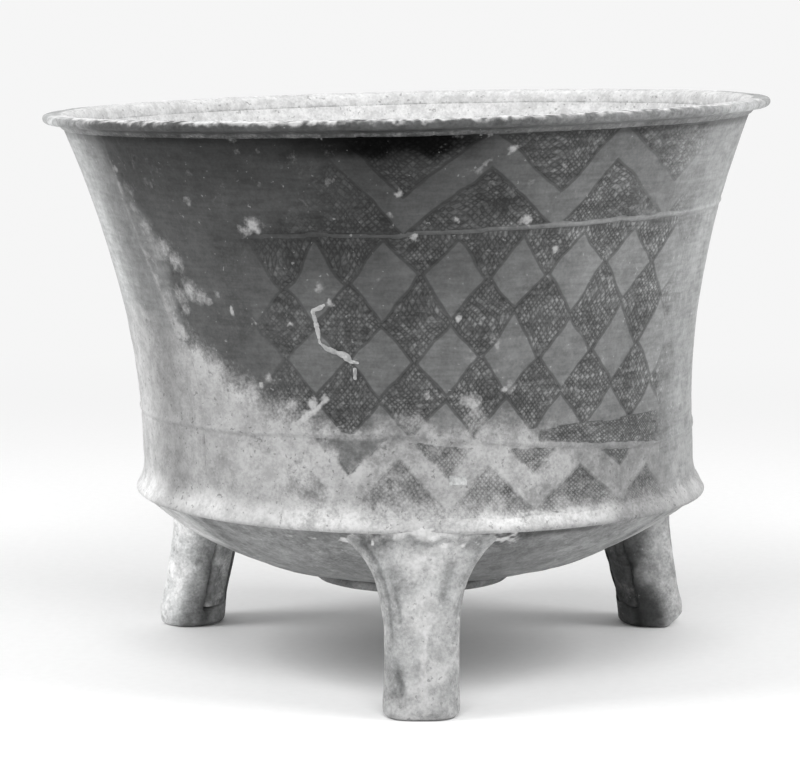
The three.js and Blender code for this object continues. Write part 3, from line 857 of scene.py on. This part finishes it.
# The inside of the vessel: the wall's inner face and the floor, coated with pale crust from its contents.
# Both are the other side of the same casting as the outer wall.
INNER_OFFSET = 2.6
FLOOR_EDGE_RADIUS = 81.6
FLOOR_EDGE_HEIGHT = 49.4
FLOOR_SAG = 25.1
FLOOR_POWER = 2.7
FLOOR_THICKNESS = 3.0
CORNER_HEIGHT = 58.0
INNER_TOP = 157.4
INNER_SKIN = 0.9


def floor_height(radius):
    """The floor's outer face sinks from its edge by a sag times one minus a power of the radius."""
    return FLOOR_EDGE_HEIGHT - FLOOR_SAG * (1 - (radius / FLOOR_EDGE_RADIUS) ** FLOOR_POWER)


def lining(name, line, relief, turn, depth, values, strips, **settings):
    """A profile carried round the axis as a thin skin: its face moved by the relief, its back by a depth."""
    back = swept(line, depth + 0 * relief, turn)[SPARSE]
    return sheet_solid(name, swept(line, relief, turn), back, True, strips=strips, values=values, **settings)


def inside_values(points):
    height = points[..., 2]
    crust = 0.72 + 0.4 * noise(points, 14, 61, 4) * ramp(height, 150, 130) + 0.5 * ramp(height, 120, 150)
    tone = 0.16 * (1 + 0.3 * noise(points, 20, 62, 3))
    return {"tone": tone, "crust": crust, "pale": 0.42 + 0.1 * ramp(height, 130, 156)}


def inner_wall():
    """The wall's curve moved inwards by the wall's thickness, upright below the waist."""
    height = np.linspace(INNER_TOP, CORNER_HEIGHT, 161)
    line = np.stack([wall_radius(np.maximum(height, WAIST_HEIGHT)) - INNER_OFFSET, height], -1)
    turn, points = revolved(line, 560)
    relief = 0.16 * noise(points, 11, 63, 4) + 0.12 * noise(points, 1.8, 64, 2)
    return lining("inner_wall", line, relief, turn, -INNER_SKIN, inside_values(points), 5)


def inner_floor():
    """The floor's curve raised by its thickness, then a rounded corner up to the inner wall."""
    reach = np.linspace(0.6, 73.0, 40)
    floor_line = np.stack([reach, floor_height(reach) + FLOOR_THICKNESS], -1)
    line = along([*floor_line, (76.2, 48.6), (77.4, 51.5), (77.6, 55), (77.6, CORNER_HEIGHT)], 129)
    turn, points = revolved(line, 480)
    relief = -(0.25 * noise(points, 16, 65, 4) + 0.14 * noise(points, 2.4, 66, 3)) * ramp(line[:, :1], 0, 6)
    values = inside_values(points)
    return lining("inner_floor", line, relief, turn, INNER_SKIN, values, 4, pole=True, turned=True)


inside_bronze = bronze_material("inside_bronze")
finish_piece(inner_wall(), inside_bronze, "wall_bronze", "bowl_body")
finish_piece(inner_floor(), inside_bronze, "wall_bronze", "bowl_body")


# The underside: the floor bulges down like a shallow dome inside the ridge, smooth and mid grey,
# with the three mould seams running on towards the middle. It is one with the wall.
UNDERSIDE_EDGE = 81.9
UNDERSIDE_SKIN = 1.0


def underside():
    """The floor's curve carried round the axis, with a bell-shaped rib along each seam and painted shadow
    inside the ridge's edge.
    """
    rows, middle = 161, 0.8
    reach = middle + (UNDERSIDE_EDGE - middle) * np.linspace(0, 1, rows) ** 0.85
    line = np.stack([reach, floor_height(reach)], -1)
    turn, points = revolved(line, 560)
    reach = reach[:, None]
    relief = 0.14 * noise(points, 13, 71, 4) + 0.05 * noise(points, 2.5, 72, 3)
    for seam_turn in SEAM_TURNS:
        offset = (turn - seam_turn + 180) % 360 - 180
        relief += 0.35 * bell(np.radians(offset) * reach, 0.6) * ramp(reach, 24, 34)
    relief *= ramp(reach, 0, 8)
    outer = ramp(reach, 58, 72)
    flank = ramp(turn, -50, -58) + ramp(turn, 56, 68)
    left = ramp(turn, -50, -58) + ramp(turn, 100, 170)
    hem = ramp(reach, 74, 79) * ramp(np.abs(turn + 2), 30, 18) * (0.7 + 0.6 * noise(points, 5, 75, 3))
    spots = ramp(noise(points, 2.6, 76, 2), 0.42, 0.75) * hem
    crust = 0.05 + 0.2 * noise(points, 15, 73, 4) + 0.55 * flank * outer + 0.9 * spots
    tone = (0.20 + 0.10 * flank * outer) * (1 - 0.3 * bell(turn - 20, 12)) * (1 - 0.5 * hem)
    # Painted shadow: darker just inside the ridge's edge at the front right, under the ridge
    tone *= 1 - 0.6 * ramp(reach, 78.5, 80.5) * window(turn, 6, 12, 34, 44)
    tone *= (1 - 0.35 * bell(turn + 46.3, 1.6) * outer) * (1 + 0.12 * noise(points, 18, 74, 4))
    values = {"tone": tone, "crust": crust, "pale": 0.34 + 0.1 * spots + 0.14 * left * outer}
    return lining("underside", line, relief, turn, -UNDERSIDE_SKIN, values, 4, pole=True)


finish_piece(underside(), bronze_material("underside_bronze"), "wall_bronze", "bowl_body")


# The disc under the middle of the floor: a flat round plate of bronze, hammered and worn at its edge.
# It was cast on to close the floor, whose curve its upper face follows.
DISC_RADIUS = 28.6
DISC_BOTTOM = 22.6
DISC_GAP = 0.05


def base_disc():
    """A flat bottom, a rounded edge and a top that follows the floor, carried round the axis."""
    rim = DISC_RADIUS
    inwards = [(radius, floor_height(radius) - DISC_GAP) for radius in (rim - 0.4, 25, 21, 17, 12, 6, 0.6)]
    bottom = [(0.6, DISC_BOTTOM), (14, DISC_BOTTOM), (rim - 0.6, DISC_BOTTOM + 0.05)]
    edge = [(rim, DISC_BOTTOM + 0.5), (rim, floor_height(rim) - 0.5)]
    line = along(bottom + edge + inwards, 110)
    turn, points = revolved(line, 400)
    relief = np.clip(0.1 * noise(points, 7, 81, 3) + 0.05 * noise(points, 1.6, 82, 2), -0.4, 0)
    relief *= ramp(line[:, :1], 0, 4)
    tone = 0.15 * (1 + 0.2 * noise(points, 10, 84, 3))
    values = {"tone": tone, "crust": 0.1 + 0.3 * noise(points, 9, 83, 4), "pale": 0.3 + 0 * tone}
    return ring_solid("base_disc_plate", swept(line, relief, turn), strips=2, values=values)


finish_piece(base_disc(), bronze_material("disc_bronze"), "disc_bronze", "base_disc")


# The legs: three short bronze legs cast on to the floor, flared at the top where they run into it.
# Their backs are hollow and painted darker as shade, a thin seam runs down each front, and pale crust covers
# their outer sides.
FEET_X = 4.55
LEG_TOP = 52.4
LEG_REACH = 81.0
LEG_TUCK = 8.8
LEG_TUCK_POWER = 1.35
LEG_HALF_WIDTH = 10.2
LEG_HALF_DEPTH = 8.5
LEG_FLARE = 15.0
LEG_FLARE_START = 15.0
LEG_FLARE_POWER = 3.4
LEG_ROUNDING = 1.8
LEG_SQUARENESS = 2.5
HOLLOW_HALF_WIDTH = 4.5
HOLLOW_DEPTH = 7.0
CORE_BOTTOM = 6.07
SLANT_START = 5
CLOSING_ROWS = 8
RIDGE_CLIMB = 2.0
INTO_FLOOR = 1.0
CHIP_REACH = 11.0
SEED_STEP = 90


def leg_reach(height):
    """Distance of a leg's middle from the axis of the feet: it tucks in by a power of the height."""
    return LEG_REACH - LEG_TUCK * (height / RIDGE_HEIGHT) ** LEG_TUCK_POWER


def placed_leg(points, turn):
    """Points of a leg that faces the front, turned about the axis of the feet, in metres."""
    angle = math.radians(turn)
    x = points[..., 0] * math.cos(angle) - points[..., 1] * math.sin(angle)
    y = points[..., 0] * math.sin(angle) + points[..., 1] * math.cos(angle)
    return np.stack([x + FEET_X, y, points[..., 2]], -1) * MM


def floor_over(points):
    """Height of the floor's outer face over points in metres, whose axis moves with the radius as it settled.
    It climbs into the ridge beyond the floor's edge."""
    x, y = points[..., 0] / MM, points[..., 1] / MM
    axis = (LIP_HEIGHT - RIDGE_HEIGHT) * math.sin(LEAN) + FOOT_SHIFT
    reach = np.hypot(x - axis, y)
    for _ in range(3):
        inner = np.clip(1 - (reach / (WAIST_RADIUS + RIDGE_TOE)) ** 2, 0, None)
        reach = np.hypot(x - axis + FLOOR_SHIFT * inner, y)
    return floor_height(np.minimum(reach, FLOOR_EDGE_RADIUS)) + RIDGE_CLIMB * ramp(reach, 80.8, 82.2)


def circle(cols):
    """Angles at even steps once round."""
    return np.linspace(0, 2 * np.pi, cols + 1)[:-1][None, :]


def squarish(angle, power):
    """A rounded square of half width 1: cosine and sine, each raised to a power with its sign kept."""
    return [np.sign(wave) * np.abs(wave) ** power for wave in (np.cos(angle), np.sin(angle))]


def leg(name, turn, seed, slant, light, inside, chip):
    """Rounded rectangles stacked up the leg: a squarish curve, widened at the top by a power of the height.
    The back slants inwards, and the last rows close inside the floor. Chip cuts off the outer foot corner.
    Light, the outside tone, is set per leg partly as painted light; inside is the painted shade tone of the
    back."""
    rows, cols = 150, 240
    is_front = seed == 1
    rise = np.linspace(0, 1, rows - CLOSING_ROWS - 1) ** 1.15 * LEG_TOP
    height = np.concatenate([np.zeros(1), rise, np.full(CLOSING_ROWS, LEG_TOP)])
    inset = LEG_ROUNDING * (1 - np.sqrt(1 - np.clip(1 - height / LEG_ROUNDING, 0, 1) ** 2))
    inset[0] = LEG_ROUNDING + 4
    angle = circle(cols)
    share = np.clip((height - LEG_FLARE_START) / (RIDGE_HEIGHT - LEG_FLARE_START), 0, 1.02)
    foot = 0.35 * bell(height - 4, 4)
    half_width = (LEG_HALF_WIDTH + LEG_FLARE * share ** LEG_FLARE_POWER + foot - inset)[:, None]
    half_depth = (LEG_HALF_DEPTH + foot - inset)[:, None]
    round_x, round_y = squarish(angle, 2 / LEG_SQUARENESS)
    x, y = half_width * round_x * (1 - 0.2 * ramp(round_y, 0, 1)), half_depth * round_y
    level = height[:, None] + 0 * x
    y = y + slant * np.clip(level - SLANT_START, 0, None) * ramp(round_y, -0.3, 0.9)
    y = y - 0.9 * bell(level - 6, 6) * ramp(round_y, 0.2, -0.9) * (not is_front)
    body = np.stack([x, y, level + seed * SEED_STEP], -1)
    lumps = 0.3 * noise(body, 12, 91, 3) + 0.08 * noise(body, 2.2, 92, 3)
    front = ramp(-round_y, 0.5, 0.95)
    across = x / half_width
    keel = bell(x - 0.8 - 0.3 * np.sin(level / 3), 0.6) * front * window(level, 2, 6, 20, 30)
    wander = 0.03 * noise(body, 5, 106, 2)
    channel_and_shade = bell(across + 0.80 + wander, 0.055) * window(level, 16, 26, 44, 49)
    channel_and_shade += 0.7 * bell(across + 0.56 + 0.012 * (level - 30) + wander, 0.06) * bell(level - 31, 5)
    channel_and_shade += 0.45 * bell(across - 0.5 + 2 * wander, 0.14) * window(level, 24, 32, 40, 46)
    channel_and_shade *= front
    lumps += 0.5 * keel - 0.55 * channel_and_shade
    away = np.hypot(round_x, round_y)
    x = x + lumps * round_x / away
    y = y + lumps * round_y / away
    mouth = HOLLOW_HALF_WIDTH + 0.8 * noise(body, 5, 95, 3)
    hollow = ramp(np.abs(x), mouth + 1.6, mouth - 0.4) * (round_y > 0)
    hollow = hollow * ramp(level + 1.5 * noise(body, 4, 97, 2), CORE_BOTTOM - 0.5, CORE_BOTTOM + 2.5)
    y = y - hollow * HOLLOW_DEPTH
    drape = bell(x + 0.5 + 1.5 * noise(body, 5, 104, 2), 12.5) * (round_y < 0)
    drape = drape * ramp(level + 1.2 * noise(body, 3, 105, 3), 46.4, 49.6) * is_front
    y = y - 2.1 * drape * ramp(level + 0.6 * noise(body, 3, 107, 3), 52.6, 51.0)
    if chip:
        corner = -0.5 * x - 0.866 * y
        excess = np.clip(corner - CHIP_REACH + 6.0 * np.clip(1 - level / 4.5, 0, None), 0, None)
        x, y = x + 0.5 * excess, y + 0.866 * excess
    closing = np.concatenate([np.ones(rows - CLOSING_ROWS), np.linspace(0.85, 0.05, CLOSING_ROWS)])[:, None]
    points = placed_leg(np.stack([x * closing, y * closing - leg_reach(level), level], -1), turn)
    top = floor_over(points) + INTO_FLOOR
    points[..., 2] = np.minimum(level, top) * MM
    # Painted shade: the back of the leg, under the bowl, takes the inside tone
    corner_y = 1.2 + 4.6 * ramp(level, 2, 16)
    inner = ramp(y + 1.8 * noise(body, 6, 96, 3), corner_y - 5.0, corner_y + 2.2)
    painted_groove_shade = bell(np.abs(x) - mouth - 1.0, 1.9) * ramp(y, 2, 4) * (1 - 0.6 * front)
    # Painted shade mixed with soot: the top of the front leg is darker in patches just under the ridge
    soot_and_overhang_shade = ramp(top - level, 8, 3) * front * (0.75 + 0.8 * noise(body, 4, 98, 3))
    soot_and_overhang_shade = soot_and_overhang_shade * (0.6 + 0.4 * ramp(np.abs(x + 1), 6, 12)) * (1 - drape)
    scar = bell(x + 6.6 - 0.35 * (13 - level), 1.1) * bell(level - 11.5, 5) * front
    # Painted shade in the channels and under the ridge, with the real scar marks
    painted_shade_and_marks = np.clip(0.8 * channel_and_shade + 0.75 * scar * (1 + noise(body, 2, 99, 2)) + 0.8 * soot_and_overhang_shade, 0, 1)
    # Painted shade: the back is darker lower down and in the grooves beside the hollow
    inside = inside * (0.6 + 0.5 * ramp(level, 8, 36)) * (1 - 0.55 * painted_groove_shade)
    light = light * (1 - 0.1 * ramp(level, 24, 6) * is_front)
    tone = (light * 0.25 * (1 - inner) + inside * inner) * (1 - 0.65 * painted_shade_and_marks)
    tone = tone * (1 + 0.18 * noise(body, 9, 93, 4))
    crust = 0.42 + 0.28 * noise(body, 7, 94, 4) + 0.12 * front - 0.4 * inner - 0.6 * painted_shade_and_marks + 0.5 * keel
    spots = ramp(noise(body, 2.2, 100, 2), 0.5, 0.8) * window(top - level, 1.5, 2.5, 6, 10) * front
    crust = np.maximum(crust, 0.9 * np.maximum(spots, drape))
    # Painted highlight: the leg's side edges are paler where they catch the light
    rim = bell(np.abs(across) - 0.97, 0.06) * ramp(-round_y, -0.1, 0.5)
    pale = 0.42 * light * (1 - inner) + 2 * inside * inner + 0.06 * rim + 0.08 * spots
    return ring_solid(name, points, values={"tone": tone, "crust": crust, "pale": pale})


leg_bronze = bronze_material("leg_bronze")
# Name, turn, random seed, inward slant of the back, lightness outside (partly painted light, set per leg),
# painted shade tone inside, chipped foot
LEGS = (
    ("front_leg", 0, 1, 0.10, 0.9, 0.07, False),
    ("rear_right_leg", 120, 2, 0.15, 0.98, 0.085, True),
    ("rear_left_leg", 240, 3, 0.08, 1.72, 0.34, False),
)
for leg_name, leg_turn, leg_seed, leg_slant, leg_light, leg_painted_inside_shade, leg_chip in LEGS:
    made_leg = leg(leg_name + "_casting", leg_turn, leg_seed, leg_slant, leg_light, leg_painted_inside_shade, leg_chip)
    finish_piece(made_leg, leg_bronze, "leg_bronze", leg_name)


# The cores: the baked clay that shaped the hollow back of each leg, left in it after casting.
# They are rough, dark with the painted shade of their legs' backs, and nearly fill the hollows.
CORE_RECESS = 0.5
CORE_SWELL = 0.4
CORE_SQUARENESS = 0.6
CORE_INTO_FLOOR = 0.8


def core_block(name, turn, seed, slant, shade):
    """Rounded squares stacked up the hollow, roughened by noise. Shade is the painted shade tone of the leg's
    back.
    """
    rows, cols = 90, 72
    height = np.linspace(CORE_BOTTOM + 0.1, LEG_TOP - 1.0, rows)
    angle = circle(cols)
    half_width = HOLLOW_HALF_WIDTH + 0.5
    half_depth = (HOLLOW_DEPTH - CORE_RECESS) / 2 + CORE_SWELL
    round_x, round_y = squarish(angle, CORE_SQUARENESS)
    x, y = half_width * round_x + 0 * height[:, None], half_depth * round_y + 0 * height[:, None]
    level = height[:, None] + 0 * x
    body = np.stack([x, y, level + seed * SEED_STEP], -1)
    y = y + np.where(y > 0, 0.5 * noise(body, 5, 101, 4), 0)
    middle = LEG_HALF_DEPTH - CORE_RECESS - half_depth + slant * np.clip(level - SLANT_START, 0, None)
    points = placed_leg(np.stack([x, y + middle - leg_reach(level), level], -1), turn)
    points[..., 2] = np.minimum(level, floor_over(points) + CORE_INTO_FLOOR) * MM
    # Painted shade: the core takes its leg's back shade, darker lower in the hollow
    tone = shade * (1 + 0.3 * noise(body, 4, 102, 4)) * (0.5 + 0.6 * ramp(level, 8, 36))
    values = {"tone": tone, "crust": 0.15 + 0.35 * noise(body, 6, 103, 4), "pale": 2 * shade + 0 * tone}
    return ring_solid(name, points, values=values)


core_clay = bronze_material("core_clay", metal_roughness=0.95, crust_roughness=0.95)
for leg_name, leg_turn, leg_seed, leg_slant, _, leg_painted_inside_shade, _ in LEGS:
    made_core = core_block(leg_name + "_core_clay", leg_turn, leg_seed + 3, leg_slant, leg_painted_inside_shade)
    finish_piece(made_core, core_clay, "core_clay", leg_name + "_core")


# The crack: a forked casting crack in the front wall, filled with a pale mineral paste that stands proud.
# Each arm is a lumpy bead along the crack.
CRACK_ROUTE = (
    (-15.4, 112), (-16.6, 110.9), (-17.9, 110.3), (-17.6, 107.5), (-17.3, 104.5), (-17.2, 101.6),
    (-16.0, 100.0), (-14.2, 98.9), (-12.6, 98.1), (-11.4, 96.3), (-10.0, 96.0),
)
FORK_ROUTE = ((-10.9, 94.7), (-10.9, 93.2), (-11.0, 91.4))
BEAD_DEPTH = 1.0
# Name, route, half width, how far it stands proud, and random seed
BEADS = (
    ("crack_bead", CRACK_ROUTE, 0.62, 0.28, 111),
    ("fork_bead", FORK_ROUTE, 0.30, 0.14, 115),
)


def bead(name, route, half_width, proud, seed):
    """Half ellipses along a route on the wall, swollen and thinned by noise."""
    rows, cols = 160, 24
    line = along(route, rows)
    turn, height = line[:, 0], line[:, 1]
    centre = around(turn, wall_radius(height), height)
    run = np.gradient(centre, axis=0)
    run /= np.linalg.norm(run, axis=1)[:, None]
    out = around(turn, 1.0, 0 * height)
    across = np.cross(out, run)
    swell = 1 + 0.6 * noise(centre, 1.6, seed, 3)
    taper = np.sqrt(np.clip(1 - np.abs(np.linspace(-1, 1, rows)) ** 12, 0, 1)) * 0.85 + 0.15
    angle = circle(cols)[..., None]
    wide = (half_width * swell * taper * (1 + 0.35 * ramp(height, 101, 97)))[:, None, None]
    rise = np.where(np.sin(angle) > 0, proud * (0.6 + 0.4 * swell[:, None, None]), BEAD_DEPTH)
    grid = centre[:, None, :] + across[:, None, :] * np.cos(angle) * wide
    grid += out[:, None, :] * np.sin(angle) * rise
    grid += out[:, None, :] * (0.16 * noise(grid, 0.8, seed + 1, 3)[..., None] + 0.05)
    flat = 0 * grid[..., 0]
    values = {"tone": 0.22 + flat, "crust": 0.64 + 0.5 * noise(grid, 1.4, seed + 2, 3), "pale": 0.33 + flat}
    return ring_solid(name, leaned(grid), values=values)


pale_fill = bronze_material("pale_fill")
for bead_details in BEADS:
    finish_piece(bead(*bead_details), pale_fill, "crack_fill", "crack_fill")


# The spacers: small bronze plates that held the casting core off the mould and stayed in the wall.
# They are paler than the wall and smooth.
CHAPLET_HALF_TURN = 1.78
CHAPLET_HALF_TALL = 1.4
CHAPLET_HEIGHT = 63.6
CHAPLET_TURNS = (7.8, 127.8, -112.2)
CHAPLET_HALF_WIDE = 2.5
CHAPLET_PROUD = 0.22
CHAPLET_DEPTH = 2.2


def chaplet(name, middle_turn):
    """A patch of the wall's own curve, a little proud, with its edges turned down."""
    down = np.linspace(-1, 1, 33)[:, None]
    side = np.linspace(-1, 1, 49)[None, :]
    height = CHAPLET_HEIGHT + CHAPLET_HALF_TALL * down + 0 * side
    turn = middle_turn + CHAPLET_HALF_TURN * side + 0 * down
    radius = wall_radius(height)
    edge = np.minimum((1 - np.abs(down)) * CHAPLET_HALF_TALL, (1 - np.abs(side)) * CHAPLET_HALF_WIDE)
    points = around(turn, radius, height)
    relief = CHAPLET_PROUD * ramp(edge, 0, 0.35) + 0.03 * noise(points, 1.5, 121, 3)
    face = leaned(around(turn, radius + relief, height))
    back = leaned(around(turn[SPARSE], radius[SPARSE] - CHAPLET_DEPTH, height[SPARSE]))
    values = {"tone": 0.38 + 0.05 * noise(points, 2, 122, 3), "crust": 0.15 + 0.3 * noise(points, 3, 123, 3)}
    values["pale"] = 0.5 + 0 * radius
    return sheet_solid(name, face, back, values=values)


spacer_bronze = bronze_material("spacer_bronze")
for number, chaplet_turn in enumerate(CHAPLET_TURNS, 1):
    plate = chaplet(f"spacer_plate_{number}", chaplet_turn)
    finish_piece(plate, spacer_bronze, "spacer_bronze", f"wall_chaplet_{number}")


# The studio: a white paper sweep under and behind the vessel, soft lamps in front above and at both sides,
# and the camera 0.89 m in front of the feet and 0.2 m above the paper, looking a little down.
FLOOR_REACH = 6.0
CAMERA_BACK = 887.24
CAMERA_HEIGHT = 195.55
CAMERA_DOWN = math.radians(7.39)
CAMERA_LEFT = math.radians(0.41)
FOCAL_PIXELS = 3053.83
PICTURE_WIDTH = 800
SENSOR_WIDTH = 36.0
GLOW = (0.92, 0.92, 0.92, 1)
# Metres from the vessel between which the paper fades into the backdrop
PAPER_FADE = (0.22, 0.75)
FIBRE_SIZE = 3
SKY_LIGHT = 0.6
SKY_SEEN = 1.0
# Name, place, the height it points at, the two sides of its panel, and power
LAMPS = (
    ("front_lamp", (0.0, -1.0, 1.12), 0.06, (0.9, 0.5), 8.5),
    ("left_lamp", (-0.92, -0.28, 0.91), 0.1, (0.5, 0.5), 6.8),
    ("right_lamp", (0.92, -0.28, 0.91), 0.1, (0.5, 0.5), 5.8),
)


def seen_directly(tree):
    """1 for rays that come from the camera, a mirror or glass, and 0 for the rest."""
    path = tree.nodes.new("ShaderNodeLightPath").outputs
    return Wire(path["Is Camera Ray"]) + Wire(path["Is Glossy Ray"]) + Wire(path["Is Transmission Ray"])


floor_data = bpy.data.meshes.new("paper")
corners = [(x * FLOOR_REACH, y * FLOOR_REACH, 0) for x, y in ((-1, -1), (1, -1), (1, 1), (-1, 1))]
floor_data.from_pydata(corners, [], [(0, 1, 2, 3)])
paper = bpy.data.objects.new("paper", floor_data)
bpy.context.scene.collection.objects.link(paper)
paper_white = bpy.data.materials.new("paper_white")
paper_white.use_nodes = True
sheet = paper_white.node_tree
paper_shader = sheet.nodes["Principled BSDF"]
paper_shader.inputs["Roughness"].default_value = 0.9
paper_place = object_place(sheet)
paper_shade = grain(paper_place, FIBRE_SIZE, 4).step(0.3, 0.7, 0.89, 0.91)
grey(paper_shade, paper_shade, paper_shade).to(paper_shader.inputs["Base Color"])
distance = Wire(lay(sheet, "ShaderNodeVectorMath", {0: paper_place}, operation="LENGTH").outputs["Value"])
far_off = distance.step(*PAPER_FADE) * seen_directly(sheet)
glow = lay(sheet, "ShaderNodeEmission", {"Color": GLOW, "Strength": 1.0})
surfaces = {0: far_off, 1: Wire(paper_shader.outputs[0]), 2: Wire(glow.outputs[0])}
blend = lay(sheet, "ShaderNodeMixShader", surfaces)
Wire(blend.outputs[0]).to(sheet.nodes["Material Output"].inputs["Surface"])
floor_data.materials.append(paper_white)

for lamp_name, lamp_place, target_height, panel, power in LAMPS:
    lamp_data = bpy.data.lights.new(lamp_name, "AREA")
    lamp_data.shape = "RECTANGLE"
    lamp_data.size, lamp_data.size_y = panel
    lamp_data.energy = power
    lamp = bpy.data.objects.new(lamp_name, lamp_data)
    lamp.location = lamp_place
    aim = Vector((0, 0, target_height)) - Vector(lamp_place)
    lamp.rotation_euler = aim.to_track_quat("-Z", "Y").to_euler()
    bpy.context.scene.collection.objects.link(lamp)

world = bpy.data.worlds.new("studio")
bpy.context.scene.world = world
world.use_nodes = True
background = world.node_tree.nodes["Background"]
background.inputs["Color"].default_value = GLOW
seen_directly(world.node_tree).step(0, 1, SKY_LIGHT, SKY_SEEN).to(background.inputs["Strength"])

camera_data = bpy.data.cameras.new("camera")
camera_data.sensor_width = SENSOR_WIDTH
camera_data.lens = FOCAL_PIXELS / PICTURE_WIDTH * SENSOR_WIDTH
camera = bpy.data.objects.new("camera", camera_data)
camera.location = (FEET_X * MM, -CAMERA_BACK * MM, CAMERA_HEIGHT * MM)
camera.rotation_euler = (math.pi / 2 - CAMERA_DOWN, 0, CAMERA_LEFT)
bpy.context.scene.collection.objects.link(camera)
bpy.context.scene.camera = camera

bpy.context.scene.view_settings.view_transform = "Standard"
